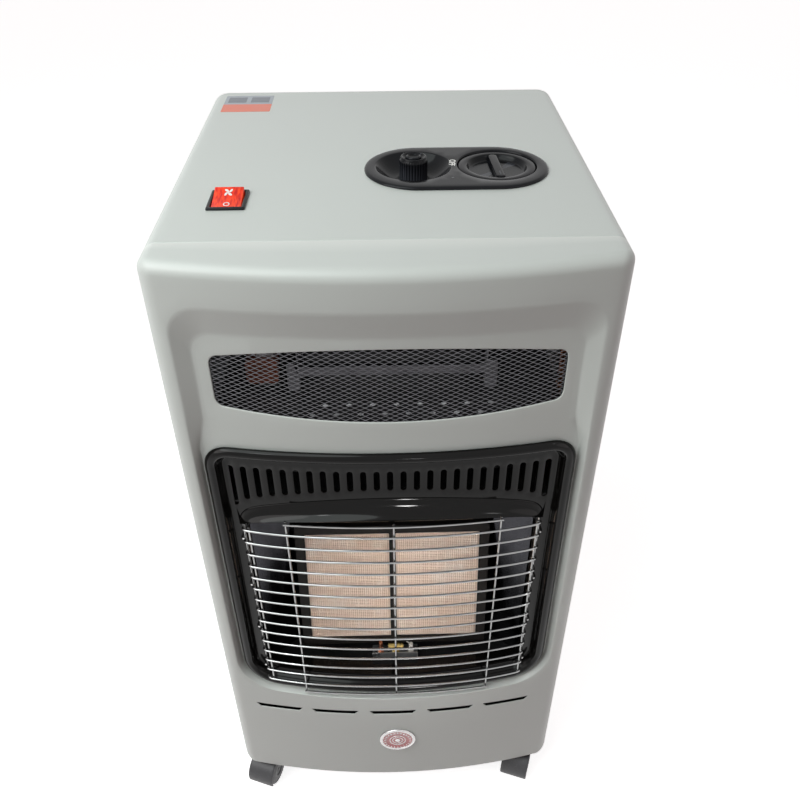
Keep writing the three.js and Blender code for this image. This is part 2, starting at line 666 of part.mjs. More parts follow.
function outletMesh() {
  const border = lens(outlet, -1).getPoints();
  const inside = ([x, z]) => {
    let odd = false;
    border.forEach((p, i) => {
      const q = border[(i + 1) % border.length];
      if (p.y > z !== q.y > z && x < p.x + ((z - p.y) / (q.y - p.y)) * (q.x - p.x)) odd = !odd;
    });
    return odd;
  };
  const back = pressDepth + sheet + seatGap;
  const [halfX, halfZ] = [meshPitchX / 2 - meshStrand, (meshPitchZ - meshStrand) / 2];
  const rows = Math.ceil((outlet.midTop - outlet.midBottom) / (meshPitchZ / 2));
  const columns = Math.ceil(outlet.halfWidth / (meshPitchX / 2));
  const holes = [];
  for (let row = 0; row <= rows; row++)
    for (let column = -columns; column <= columns; column++) {
      if ((row + column) % 2) continue;
      const [x, z] = [(column * meshPitchX) / 2, outlet.midBottom + (row * meshPitchZ) / 2];
      const corners = [[x + halfX, z], [x, z + halfZ], [x - halfX, z], [x, z - halfZ]];
      if (!corners.every(inside)) continue;
      const diamond = new THREE.Shape(corners.map((corner) => new THREE.Vector2(...corner)));
      holes.push(frontPrism(diamond, back - 1, back + meshThickness + 1));
    }
  return bend(cut(frontPrism(lens(outlet, meshBorder), back, back + meshThickness), ...holes));
}

function ductFloor() {
  const x = ductHalfWidth;
  const plate = planPrism(bowedPlan(x, pressDepth + 4, bulkheadY - seatGap), ductFloorZ, ductFloorZ + sheet);
  const sides = bothSides((side) =>
    slab(side, x - sheet, x, 10, bulkheadY - flange - 1, ductFloorZ - flange, ductFloorZ + sheet));
  const holes = [];
  for (let row = 0; row < 2; row++)
    for (let i = -3; i <= 4; i++) {
      const [hx, hy] = [i * 22 + row * 11 - 5, 12 + row * 14];
      holes.push(rod([hx, hy, ductFloorZ - 2], [hx, hy, ductFloorZ + 4], 3, 6));
    }
  return cut(join(plate, ...sides), ...holes);
}

function firebox() {
  const front = surroundFace + surroundWall + seatGap;
  const [x, back] = [fireboxHalfWidth, bulkheadY - 8];
  const [low, high] = [fireboxBottom, fireboxTop];
  const inner = planPrism(bowedPlan(x - sheet, front - 5, back - sheet), low + sheet, high - sheet);
  const shell = cut(planPrism(bowedPlan(x, front, back), low, high), inner);
  const flue = block(-x + 14, x - 14, 48, back - 10, high - 3, high + 1);
  const { y, z, radius } = mixingTube;
  const tubeHole = rod([x - 4, y, z], [x + 4, y, z], radius + 1, 12);
  const leads = pilotHoles().map(([lx, r]) => rod([lx, pilotY, low - 2], [lx, pilotY, low + 4], r + 1, 8));
  return cut(shell, flue, tubeHole, ...leads);
}

function tilted() {
  return new THREE.Matrix4()
    .makeTranslation(0, plaqueFoot.y, plaqueFoot.z)
    .multiply(new THREE.Matrix4().makeRotationX(-plaqueTilt));
}

const plaqueReach = plaqueWidth + plaqueSpacing / 2;

function plaque(side) {
  const [a, b] = [(side * plaqueSpacing) / 2, side * plaqueReach].sort((p, q) => p - q);
  return block(a, b, 0, plaqueThickness, 0, plaqueHeight);
}

function plaqueFrame() {
  const [x, edge, lap] = [plaqueReach + 12, 10, 1];
  const front = -seatGap - sheet;
  const body = cut(block(-x, x, front, plaqueThickness, -edge, plaqueHeight + edge),
    block(-x + sheet, x - sheet, -seatGap, plaqueThickness + 1, sheet - edge, plaqueHeight + edge - sheet));
  const windows = [-1, 1].map((side) => {
    const [a, b] = [side * (plaqueSpacing / 2 + lap), side * (plaqueReach - lap)].sort((p, q) => p - q);
    return block(a, b, front - 1, 1, lap, plaqueHeight - lap);
  });
  return cut(body, ...windows);
}

function burnerBox() {
  const [x, low, high] = [plaqueReach + 8, -8, plaqueHeight + 8];
  const [front, back] = [plaqueThickness + seatGap, plaqueThickness + seatGap + plenumDepth];
  const box = cut(block(-x, x, front, back, low, high),
    block(-x + 1.5, x - 1.5, front - 1, back - 1.5, low + 1.5, high - 1.5));
  const { y, z, radius, wall, from, to } = mixingTube;
  const neck = block(-30, 10, y - radius + 1, y + radius - 1, z + 4, z + radius + 12);
  const floor = fireboxBottom + sheet + seatGap;
  const feet = [-80, 60].map((fx) => block(fx, fx + 20, y - 12, y - 10, floor, z + 30));
  const outer = rod([from, y, z], [to, y, z], radius, 16);
  const bore = rod([from + 2, y, z], [to + 1, y, z], radius - wall, 16);
  return cut(join(moved(box, tilted()), neck, ...feet, outer), bore);
}

function reflector(side) {
  const [low, high] = [fireboxBottom + sheet + seatGap, fireboxTop - 18];
  const [nearX, nearY, farX, farY] = [mouth.halfWidth - 1, 30, plaqueReach + 17, 59];
  const shape = new THREE.Shape();
  shape.moveTo(side * nearX, nearY);
  shape.lineTo(side * farX, farY);
  shape.lineTo(side * (farX + 1), farY + 1);
  shape.lineTo(side * (nearX + 1), nearY + 1);
  const edge = slab(side, nearX, fireboxHalfWidth - sheet - seatGap, nearY, nearY + 1, low, high);
  return join(planPrism(shape, low, high), edge);
}

// Pilot: shelf on the firebox floor with the pilot jet, the thermocouple and the spark electrode
const shelfZ = fireboxBottom + 12;
const pilotPitch = 18;
const thermocoupleX = pilotX - pilotPitch;
const electrodeX = pilotX + pilotPitch;

// Position and radius of what stands in each hole
function pilotHoles() {
  return [[pilotX, 3.2], [thermocoupleX, 2.3], [electrodeX, 2.5]];
}

function pilotBracket() {
  const floor = fireboxBottom + sheet + seatGap;
  const [x0, x1] = [pilotX - 28, pilotX + 26];
  const shelf = block(x0, x1, pilotY - 9, pilotY + 9, shelfZ, shelfZ + 1);
  const shield = block(x0, x1, pilotY - 10, pilotY - 9, shelfZ, shelfZ + 10);
  const legs = [x0, x1 - 1].map((x) => block(x, x + 1, pilotY - 5, pilotY + 9, floor, shelfZ + 0.5));
  const holes = pilotHoles().map(([x, r]) =>
    rod([x, pilotY, shelfZ - 2], [x, pilotY, shelfZ + 3], r + seatGap, 10));
  return cut(join(shelf, shield, ...legs), ...holes);
}

function pilotBurner() {
  const [low, high, radius] = [shelfZ - 6, shelfZ + 9, pilotHoles()[0][1]];
  const stem = rod([pilotX, pilotY, low], [pilotX, pilotY, high], radius, 10);
  const crown = rod([pilotX - 9, pilotY, high + 2], [pilotX + 9, pilotY, high + 2], 3, 8);
  const nut = rod([pilotX, pilotY, shelfZ + 1 + seatGap], [pilotX, pilotY, shelfZ + 5], 5, 6);
  return join(stem, crown, nut);
}

const leadPitch = 8;
const leadNotchY = bulkheadY + 10; // where a lead turns to pass the bulkhead's notch

// A pipe or lead from the controls, down the right side, under the firebox and up to the pilot. Row 0 is
// the nearest to the side panel, and each next one runs further in and higher.
function pilotLead(start, row, endX, radius, sides) {
  const [downX, downY] = [halfWidth - 12 - row * leadPitch, bulkheadY - 34];
  const under = fireboxBottom - 26 + (row * leadPitch) / 2;
  return pipe([
    ...start, [downX, downY, start.at(-1)[2]], [downX, downY, under],
    [endX + 24, pilotY + 14, under], [endX, pilotY, under], [endX, pilotY, shelfZ - 6 - seatGap],
  ], radius, 10, sides);
}

const valve = { x0: dial.x - 16, x1: dial.x + 16, y0: dial.y - 14, y1: dial.y + 14, low: bezel.floor - 39,
  high: bezel.floor - 10 };
const magnetReach = 14;

function thermocouple() {
  const z = valve.low + 14;
  const y = valve.y0 - magnetReach - seatGap;
  const start = [[dial.x, y, z], [dial.x, y - 8, z], [dial.x + 6, y - 14, z + 18],
    [halfWidth - 22, leadNotchY, z + 18]];
  const lead = pilotLead(start, 1, thermocoupleX, leadRadius, 5);
  const radius = pilotHoles()[1][1];
  const probe = rod([thermocoupleX, pilotY, shelfZ - 8], [thermocoupleX, pilotY, shelfZ + 18], radius, 8);
  const nut = rod([thermocoupleX, pilotY, shelfZ + 1 + seatGap], [thermocoupleX, pilotY, shelfZ + 5], 4, 6);
  return join(lead, probe, nut);
}

function sparkElectrode() {
  const z = bulkheadTop - 6;
  const { x, y, terminal } = igniter;
  const start = [[x, y, terminal - seatGap], [x, y, terminal - 16], [x + 50, y - 30, z],
    [halfWidth - 13, leadNotchY + 12, z]];
  const lead = pilotLead(start, 0, electrodeX, leadRadius, 5);
  const radius = pilotHoles()[2][1];
  const insulator = rod([electrodeX, pilotY, shelfZ - 8], [electrodeX, pilotY, shelfZ + 14], radius, 8);
  const collar = rod([electrodeX, pilotY, shelfZ + 1 + seatGap], [electrodeX, pilotY, shelfZ + 4], 4, 8);
  const tip = rod([electrodeX, pilotY, shelfZ + 13], [electrodeX - 5, pilotY, shelfZ + 18], 0.8, 5);
  return join(lead, insulator, collar, tip);
}

function pilotPipe() {
  const [x, z] = [valve.x1 - 5, valve.low + 10];
  const start = [[x, valve.y0 - seatGap, z], [x, valve.y0 - 8, z], [x + 5, valve.y0 - 16, z + 10],
    [halfWidth - 32, leadNotchY, z + 10]];
  return pilotLead(start, 2, pilotX, leadRadius + 0.4, 6);
}

const injectorX = mixingTube.to + 8;

function burnerInjector() {
  const { y, z, radius, to } = mixingTube;
  const body = block(injectorX, injectorX + 14, y - 7, y + 7, z - 7, z + 7);
  const nose = rod([injectorX + 1, y, z], [to - 4, y, z], 4, 10, 2.2);
  const yoke = rod([to + seatGap, y, z], [to + 2, y, z], radius, 12);
  const arms = bothSides((side) => {
    const [a, b] = [y + side * 5, y + side * 7].sort((p, q) => p - q);
    return block(to + 1, injectorX + 1, a, b, z - 4, z + 4);
  });
  const air = rod([to, y, z], [injectorX, y, z], 4.6, 10);
  const nut = rod([injectorX + 7, y, z + 6], [injectorX + 7, y, z + 14], 6, 6);
  return join(cut(join(yoke, ...arms), air), body, nose, nut);
}

function burnerPipe() {
  const [x, y, z] = [injectorX + 7, mixingTube.y, valve.low + 22];
  return pipe([
    [x, y, mixingTube.z + 14 + seatGap], [x, y, z + 16], [x - 5, dial.y - 37, z + 16],
    [dial.x + 46, dial.y, z], [valve.x1 + seatGap, dial.y, z],
  ], pipeRadius, 12, 8);
}

// Blower

function blowerFrame() {
  const { y, z, from, to } = blower;
  const [low, high] = [z - 36, z - 6];
  const bar = block(from - 1, to + 1, bracketY, bracketY + sheet, high - 13, high - 4);
  const parts = [[-1, from - 1], [1, to + 1]].map(([side, x]) => {
    const [a, b] = [x, x + side * 11].sort((p, q) => p - q);
    const bracket = frontPrism(rectangle(a, b, low, high + 1, 3), bracketY, bracketY + sheet, 1);
    const [c, d] = [x, x + side * sheet].sort((p, q) => p - q);
    const plate = block(c, d, bracketY, bulkheadY - seatGap, low + 2, z + 34);
    const bearing = rod([x - 3, y, z], [x + 3, y, z], axleRadius + seatGap, 12);
    return cut(join(bracket, plate), bearing);
  });
  return join(bar, ...parts);
}

function blowerHousing() {
  const { y, z, radius, from, to } = blower;
  const shape = new THREE.Shape();
  const [start, end] = [-0.72 * pi, 0.42 * pi];
  const reach = radius + 7;
  shape.absarc(y, z, reach, start, end, false);
  shape.absarc(y, z, reach - sheet, end, start, true);
  return sidePrism(shape, from - 1 + seatGap, to + 1 - seatGap, 7);
}

function blowerImpeller() {
  const { y, z, radius, from, to } = blower;
  const { x0, x1, bore } = motorStack;
  const [left, right] = [from + 3, to - 3];
  const rotor = rod([x0 + 1, y, z], [x1 - 1, y, z], bore - 1, 14);
  const solids = [rod([x0, y, z], [to + 5, y, z], axleRadius, 10), rotor];
  for (const x of [left, right - 1]) solids.push(rod([x, y, z], [x + 1, y, z], radius, bladeCount));
  for (let i = 0; i < bladeCount; i++) {
    const blade = block(left + 0.4, right - 0.4, -0.5, 0.5, radius - 8, radius - 1.2);
    const lean = new THREE.Matrix4().makeTranslation(0, y, z)
      .multiply(new THREE.Matrix4().makeRotationX((2 * pi * (i + 0.5)) / bladeCount))
      .multiply(new THREE.Matrix4().makeTranslation(0, 0, radius - 4))
      .multiply(new THREE.Matrix4().makeRotationX(0.5))
      .multiply(new THREE.Matrix4().makeTranslation(0, 0, 4 - radius));
    solids.push(moved(blade, lean));
  }
  return join(...solids);
}

function motorCore() {
  const { y, z } = blower;
  const { x0, x1, reach, bore, poleBack } = motorStack;
  const window = block(x0 - 1, x1 + 1, poleBack, y - bore - 1, z - reach + 6, z + reach - 6);
  const stack = cut(block(x0, x1, poleBack - 8, y + 28, z - reach, z + reach), window,
    rod([x0 - 1, y, z], [x1 + 1, y, z], bore, 16));
  const posts = [8 - reach, reach - 8].map((dz) =>
    rod([x1 - 1, y + 20, z + dz], [blower.from - 1 - sheet - seatGap, y + 20, z + dz], 3, 8));
  return join(stack, ...posts);
}

function motorCoil() {
  const z = blower.z - 16;
  const { x0, x1, reach, poleBack } = motorStack;
  const outer = frontPrism(rectangle(x0 - 11, x1 + 3, z - 11.5, z + 15, 5), poleBack - 13, poleBack + 6);
  const [front, back] = [poleBack - 8 - seatGap, poleBack + seatGap];
  return outer.subtract(block(x0 - seatGap, x1 + seatGap, front, back, z - reach, z + reach));
}

// Controls

function controlBezel() {
  const { x, y, length, width, rim, floor, dish, dishRadius } = bezel;
  const top = panelHeight + rim;
  const skirtInset = 2 * (bezelInset + 0.6);
  const rimPlate = planPrism(obround(x, y, length, width), panelHeight + seatGap, top, 7);
  const skirt = planPrism(obround(x, y, length - skirtInset, width - skirtInset), floor, top - 1, 7);
  const bowl = [[0, top + 1], [0, dish], [igniter.radius + 1, dish]];
  for (const share of [0.55, 0.7, 0.85, 1]) bowl.push([dishRadius * share, dish + (top - dish) * share ** 3]);
  bowl.push([dishRadius + 0.5, top + 1], [0, top + 1]);
  const dialWell = rod([dial.x, dial.y, dish], [dial.x, dial.y, top + 1], dial.radius + 0.9, 24);
  const plungerHole = rod([igniter.x, igniter.y, floor - 1], [igniter.x, igniter.y, top], 4, 12);
  const spindleHole = rod([dial.x, dial.y, floor - 1], [dial.x, dial.y, top], 8.5, 16);
  const igniterWell = turned(bowl, igniter.x, igniter.y, 20);
  return cut(join(rimPlate, skirt), igniterWell, dialWell, plungerHole, spindleHole);
}

function gasDial() {
  const { x, y, radius, bottom, top, barWidth } = dial;
  const disc = turned([[0, bottom], [radius, bottom], [radius, top - 1.2], [radius - 1.2, top], [29, top],
    [26, top - 5], [0, top - 5]], 0, 0, 24);
  const bar = planPrism(obround(0, 0, 57, barWidth), top - 6, top + 0.6, 2);
  const turnedBar = moved(bar, new THREE.Matrix4().makeRotationZ(pi / 2 + dialTurn));
  const hub = rod([0, 0, bottom - 5], [0, 0, bottom + 1], 7.5, 16);
  const bore = rod([0, 0, bottom - 6], [0, 0, bottom + 3], stemRadius + seatGap, 16);
  return shifted(cut(join(disc, turnedBar, hub), bore), x, y, 0);
}

const valveTop = bezel.floor - seatGap;
const spindleBottom = bezel.floor - 13;

function valveSpindle() {
  return rod([dial.x, dial.y, spindleBottom], [dial.x, dial.y, dial.bottom + 3 - seatGap], stemRadius, 12);
}

function valvePlunger() {
  const top = spindleBottom - seatGap;
  const profile = [[0, top - 18], [2.5, top - 18], [2.5, top - 6], [stemRadius, top - 6], [stemRadius, top],
    [0, top]];
  return turned(profile, dial.x, dial.y, 12);
}

function gasValve() {
  const { x, y } = dial;
  const { x0, x1, y0, y1, low, high } = valve;
  const cap = rod([x, y, high - 1], [x, y, valveTop], 15, 18);
  const body = planPrism(rectangle(x0, x1, y0, y1, 4), low, high, 1);
  const magnet = rod([x, y0 + 2, low + 14], [x, y0 - magnetReach, low + 14], 7, 12);
  const bore = rod([x, y, low + 1.5], [x, y, valveTop + 1], stemRadius + 0.5, 16);
  return cut(join(cap, body, magnet), bore);
}

function hoseInlet() {
  const [start, z] = [valve.y1 + seatGap, valve.low + 16];
  const profile = [[0, 0], [7, 0], [7, 7], [4.6, 7], [4.6, 10]];
  for (let i = 0; i < 3; i++) profile.push([5.6, 10 + i * 6], [4.2, 16 + i * 6]);
  profile.push([0, 28]);
  const barb = new THREE.LatheGeometry(profile.map(([r, h]) => new THREE.Vector2(r, h)), 10);
  const bore = rod([dial.x, start + 6, z], [dial.x, start + 30, z], 2.6, 8);
  return cut(solidOf(barb.translate(dial.x, start, z)), bore);
}

function igniterCollar() {
  const { x, y, radius, top, flutes, buttonRadius } = igniter;
  const shape = new THREE.Shape();
  for (let i = 0; i < 2 * flutes; i++) {
    const angle = (pi * i) / flutes;
    const r = i % 2 ? radius - 1 : radius;
    const [u, v] = [r * Math.cos(angle), r * Math.sin(angle)];
    i ? shape.lineTo(u, v) : shape.moveTo(u, v);
  }
  const low = bezel.dish + seatGap;
  const fluted = planPrism(shape, low, top - 1);
  const lip = rod([0, 0, top - 2], [0, 0, top], radius - 1.3, 24);
  const bore = rod([0, 0, low + 4], [0, 0, top + 1], buttonRadius + 0.6, 24);
  const plungerHole = rod([0, 0, low - 1], [0, 0, low + 6], 3.6, 12);
  return shifted(cut(join(fluted, lip), bore, plungerHole), x, y, 0);
}

const plungerEnd = igniter.top - 35;

function igniterButton() {
  const { x, y, top, buttonRadius: r } = igniter;
  const [low, high] = [top - 9, top + 0.6];
  const profile = [[0, plungerEnd], [3, plungerEnd], [3, low], [r, low], [r, high - 1], [r - 1, high],
    [r - 2.2, high], [r - 3, high - 1.2], [0, high - 1.2]];
  return turned(profile, x, y, 16);
}

function igniterBody() {
  const { x, y, terminal, travel } = igniter;
  const high = bezel.floor - seatGap;
  const body = turned([[0, terminal], [4, terminal], [4, terminal + 7], [9, terminal + 7], [9, high - 6],
    [13, high - 6], [13, high], [0, high]], x, y, 16);
  return body.subtract(rod([x, y, plungerEnd - travel - 2], [x, y, high + 1], 3.5, 12));
}

function switchBody() {
  const { x, y, width, length, height, bodyDepth } = rockerSwitch;
  const [w, l] = [width / 2, length / 2];
  const top = panelHeight + height;
  const rim = planPrism(rectangle(x - w, x + w, y - l, y + l, 1.5), panelHeight + seatGap, top, 1);
  const body = block(x - w + 2, x + w - 2, y - l + 2, y + l - 2, panelHeight - bodyDepth, top - 1);
  const well = block(x - w + 3.6, x + w - 3.6, y - l + 3.4, y + l - 3.4, panelHeight - 12, top + 1);
  const pins = bothSides((side) =>
    rod([x + side * (w - 3), y, rockerAxisZ()], [x + side * (w - 6), y, rockerAxisZ()], 1.4, 8));
  return join(cut(join(rim, body), well), ...pins);
}

function rockerAxisZ() {
  return panelHeight - 1.5;
}

function rockerPaddle() {
  const { x, y, width, length } = rockerSwitch;
  const w = width / 2 - 4;
  const reach = length / 2 - 4.2;
  const profile = new THREE.Shape();
  const topEnd = 5.4;
  profile.moveTo(-reach, topEnd);
  profile.lineTo(-reach, -1.5);
  profile.lineTo(0, -6.5);
  profile.lineTo(reach, -1.5);
  profile.lineTo(reach, topEnd);
  profile.lineTo(0, topEnd - 0.9);
  const sockets = bothSides((side) => rod([side * (w + 1), 0, 0], [side * (w - 3), 0, 0], 1.7, 8));
  const paddle = cut(sidePrism(profile, -w, w), ...sockets);
  const place = new THREE.Matrix4().makeTranslation(x, y, rockerAxisZ())
    .multiply(new THREE.Matrix4().makeRotationX(rockerTilt));
  return moved(paddle, place);
}

function badge() {
  const { x, z, radius } = badgePlace;
  const disc = [[0, 0], [radius, 0], [radius, 1.4], [radius - 2.8, 2.2], [radius - 3.3, 1.7], [12, 2.4],
    [0, 2.9]];
  const lathe = new THREE.LatheGeometry(disc.map(([r, h]) => new THREE.Vector2(r, h)), 24);
  return solidOf(lathe.rotateX(pi).translate(x, -frontBow - seatGap, z));
}

function cableGland() {
  const [x, y, z] = [halfWidth - 50, bulkheadY + sheet + seatGap, 60];
  const body = [[3.5, 0], [9, 0], [9, 2], [6, 3], [5, 14], [3.5, 14], [3.5, 0]];
  const lathe = new THREE.LatheGeometry(body.map(([r, h]) => new THREE.Vector2(r, h)), 12);
  return solidOf(lathe.translate(x, y, z));
}

// Casters, drawn with the stem on the z axis and z = 0 on the floor

function stemPlaces() {
  const rear = cabinetDepth - casterInset;
  return [[-casterX, casterInset], [casterX, casterInset], [-casterX, rear], [casterX, rear]];
}

const stemPlateTop = groundClearance + sheet;
const forkTop = stemPlateTop - 2.4;

function casterStem() {
  const plate = rod([0, 0, stemPlateTop - 2], [0, 0, stemPlateTop], 15, 10);
  return join(plate, rod([0, 0, forkTop - 12], [0, 0, stemPlateTop + 5], stemRadius, 8));
}

function casterFork() {
  const [y, z] = [-casterTrail, wheelRadius];
  const web = new THREE.Shape();
  web.absarc(y, z, wheelRadius - 7, -0.85 * pi, 0.2 * pi, false);
  web.lineTo(8, forkTop);
  web.lineTo(-8, forkTop);
  web.lineTo(y - wheelRadius + 4, z + 8);
  const fender = new THREE.Shape();
  fender.absarc(y, z, wheelRadius + 3, 0.12 * pi, 1.08 * pi, false);
  fender.absarc(y, z, wheelRadius + 1.2, 1.08 * pi, 0.12 * pi, true);
  const half = forkWidth / 2 + wheelWidth + 0.6;
  const wheels = bothSides((side) =>
    rod([(side * forkWidth) / 2, y, z], [side * (half + 1), y, z], wheelRadius + 1, 10));
  const boss = cut(rod([0, 0, forkTop - 14], [0, 0, forkTop], 9, 8), ...wheels);
  const solid = join(sidePrism(web, -forkWidth / 2, forkWidth / 2, 3), boss,
    sidePrism(fender, -half, half, 4));
  return cut(solid, rod([0, 0, forkTop - 13], [0, 0, forkTop + 1], stemRadius + 2 * seatGap, 8),
    rod([-10, y, z], [10, y, z], axleRadius + seatGap, 8));
}

function casterWheel(side, withAxle) {
  const inner = forkWidth / 2 + seatGap;
  const outer = inner + wheelWidth;
  const r = wheelRadius;
  const profile = [[0, inner], [r, inner], [r, outer - 2], [r - 2, outer], [0, outer]];
  const lathe = new THREE.LatheGeometry(profile.map(([u, v]) => new THREE.Vector2(u, v)), 14);
  const wheel = solidOf(lathe.rotateZ((-side * pi) / 2).rotateX(pi / 2).translate(0, -casterTrail, r));
  const axle = (from, to, radius) => rod([from, -casterTrail, r], [to, -casterTrail, r], radius, 8);
  if (!withAxle) return cut(wheel, axle(0, side * (outer + 1), axleRadius + seatGap));
  return join(wheel, axle(side * inner, -side * (outer - 2), axleRadius));
}

function addCaster(name, [x, y], degrees) {
  const group = new THREE.Group();
  group.position.set(x, y, -groundClearance);
  group.rotation.z = THREE.MathUtils.degToRad(degrees);
  cabinet.add(group);
  addPiece("caster_" + name + "_stem", casterStem(), finishes.steel, group);
  addPiece("caster_" + name + "_fork", casterFork(), finishes.tyre, group);
  addPiece("caster_" + name + "_wheel_left", casterWheel(-1, true), finishes.tyre, group);
  addPiece("caster_" + name + "_wheel_right", casterWheel(1, false), finishes.tyre, group);
}

// Assembly

addPiece("front_panel", frontPanel(), finishes.paint);
addPiece("top_panel", topPanel(), finishes.paint);
addPiece("side_panel_left", sidePanel(-1), finishes.paint);
addPiece("side_panel_right", sidePanel(1), finishes.paint);
addPiece("base_pan", basePan(), finishes.blackSteel);
addPiece("bulkhead", bulkhead(), finishes.steel);
addPiece("rear_cover", rearCover(), finishes.paint);
addPiece("outlet_mesh", outletMesh(), finishes.steel);
addPiece("duct_floor", ductFloor(), finishes.blackSteel);
addPiece("burner_surround", burnerSurround(), finishes.enamel);
addPiece("wire_guard", wireGuard(), finishes.chrome);
addPiece("firebox", firebox(), finishes.blackSteel);
addPiece("reflector_left", reflector(-1), finishes.chrome);
addPiece("reflector_right", reflector(1), finishes.chrome);

const plaques = new THREE.Group();
plaques.applyMatrix4(tilted());
cabinet.add(plaques);
addPiece("plaque_left", plaque(-1), finishes.ceramic, plaques);
addPiece("plaque_right", plaque(1), finishes.ceramic, plaques);
addPiece("plaque_frame", plaqueFrame(), finishes.blackSteel, plaques);
addPiece("burner_box", burnerBox(), finishes.steel);
addPiece("burner_injector", burnerInjector(), finishes.brass);
addPiece("burner_pipe", burnerPipe(), finishes.copper);
addPiece("pilot_bracket", pilotBracket(), finishes.chrome);
addPiece("pilot_burner", pilotBurner(), finishes.brass);
addPiece("pilot_pipe", pilotPipe(), finishes.copper);
addPiece("thermocouple", thermocouple(), finishes.copper);
addPiece("spark_electrode", sparkElectrode(), finishes.porcelain);

addPiece("blower_frame", blowerFrame(), finishes.steel);
addPiece("blower_housing", blowerHousing(), finishes.steel);
addPiece("blower_impeller", blowerImpeller(), finishes.steel);
addPiece("motor_core", motorCore(), finishes.steel);
addPiece("motor_coil", motorCoil(), finishes.winding);

addPiece("control_bezel", controlBezel(), finishes.plastic);
addPiece("gas_dial", gasDial(), finishes.plastic);
addPiece("valve_spindle", valveSpindle(), finishes.steel);
addPiece("valve_plunger", valvePlunger(), finishes.brass);
addPiece("gas_valve", gasValve(), finishes.brass);
addPiece("hose_inlet", hoseInlet(), finishes.brass);
addPiece("igniter_collar", igniterCollar(), finishes.plastic);
addPiece("igniter_button", igniterButton(), finishes.plastic);
addPiece("igniter_body", igniterBody(), finishes.porcelain);
addPiece("switch_body", switchBody(), finishes.plastic);
addPiece("rocker", rockerPaddle(), finishes.rocker);
addPiece("badge", badge(), finishes.badge);
addPiece("cable_gland", cableGland(), finishes.plastic);

Object.entries(casterAngles).forEach(([name, degrees], i) => addCaster(name, stemPlaces()[i], degrees));

export default model;
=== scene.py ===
import json
import math

import bmesh
import bpy
import numpy as np
from mathutils import Matrix, Vector, geometry


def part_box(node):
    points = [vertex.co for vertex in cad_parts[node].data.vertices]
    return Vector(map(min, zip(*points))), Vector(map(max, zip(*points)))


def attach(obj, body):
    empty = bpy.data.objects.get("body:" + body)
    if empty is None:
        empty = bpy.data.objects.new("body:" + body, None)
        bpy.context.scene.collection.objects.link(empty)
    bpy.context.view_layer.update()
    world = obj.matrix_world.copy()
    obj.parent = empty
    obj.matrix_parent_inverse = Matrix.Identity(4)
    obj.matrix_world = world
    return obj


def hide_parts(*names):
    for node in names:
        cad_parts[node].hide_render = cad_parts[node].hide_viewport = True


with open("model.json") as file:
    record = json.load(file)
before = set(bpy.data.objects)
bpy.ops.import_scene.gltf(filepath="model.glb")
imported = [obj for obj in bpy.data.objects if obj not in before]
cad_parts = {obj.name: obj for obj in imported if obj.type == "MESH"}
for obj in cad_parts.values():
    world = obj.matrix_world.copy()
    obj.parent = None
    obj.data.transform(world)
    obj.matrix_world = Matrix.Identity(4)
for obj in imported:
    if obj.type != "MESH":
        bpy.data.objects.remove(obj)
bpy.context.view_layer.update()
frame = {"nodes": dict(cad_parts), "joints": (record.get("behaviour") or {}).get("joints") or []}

mm = 0.001

# The cabinet's own frame: x from the middle, y back from the line between the front corners, z up from the
# bottom edge of the panels, all in millimetres. Everything below is drawn in it and then put in place.
cabinet = {
    "bow": 24,  # the middle of the front stands this far ahead of its corners
    "bowFull": 20,  # the bow is full up to this depth
    "bowGone": 32,  # and gone at this one
    "sheet": 1.2,
}
panelLow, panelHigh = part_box("front_panel")
originX = (panelLow.x + panelHigh.x) / 2
originY = panelLow.y + cabinet["bow"] * mm
originZ = panelLow.z
cabinet["halfWidth"] = (panelHigh.x - panelLow.x) / mm / 2
cabinet["height"] = (panelHigh.z - panelLow.z) / mm
cabinet["back"] = (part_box("top_panel")[1].y - originY) / mm


def toFrame(points):
    points = np.asarray(points, float)
    return points * mm + np.array([originX, originY, originZ])


def bowAt(x, y=0.0):
    fade = np.clip((cabinet["bowGone"] - y) / (cabinet["bowGone"] - cabinet["bowFull"]), 0, 1)
    return -cabinet["bow"] * (1 - (x / cabinet["halfWidth"]) ** 2) * fade


def bent(points):
    points = np.array(points, float)
    points[:, 1] += bowAt(points[:, 0], points[:, 1])
    return points


# Mesh work

class Skin:  # points and faces gathered into one mesh
    def __init__(self):
        self.points = []
        self.faces = []

    def add(self, points, faces):
        start = len(self.points)
        self.points.extend(tuple(float(v) for v in p) for p in points)
        self.faces.extend([start + i for i in face] for face in faces)

    def rings(self, rings, closed=True, capStart=False, capEnd=False):
        count = len(rings[0])
        faces = []
        last = count if closed else count - 1
        for r in range(len(rings) - 1):
            for i in range(last):
                a, b = r * count + i, r * count + (i + 1) % count
                faces.append([a, b, b + count, a + count])
        if capStart:
            faces.append(list(range(count))[::-1])
        if capEnd:
            faces.append([(len(rings) - 1) * count + i for i in range(count)])
        self.add([p for ring in rings for p in ring], faces)

    def fill(self, outer, holes, lift, spacing):  # the plane between an outline and its holes, on a grid
        points, triangles = fillBetween(outer, holes, spacing)
        self.add([lift(u, v) for u, v in points], triangles)


def insideLoop(points, loop):
    loop = np.asarray(loop, float)
    x, y = points[:, 0], points[:, 1]
    odd = np.zeros(len(points), bool)
    for (x0, y0), (x1, y1) in zip(loop, np.roll(loop, -1, axis=0)):
        if y0 == y1:
            continue
        crossing = (y0 > y) != (y1 > y)
        odd ^= crossing & (x < x0 + (x1 - x0) * (y - y0) / (y1 - y0))
    return odd


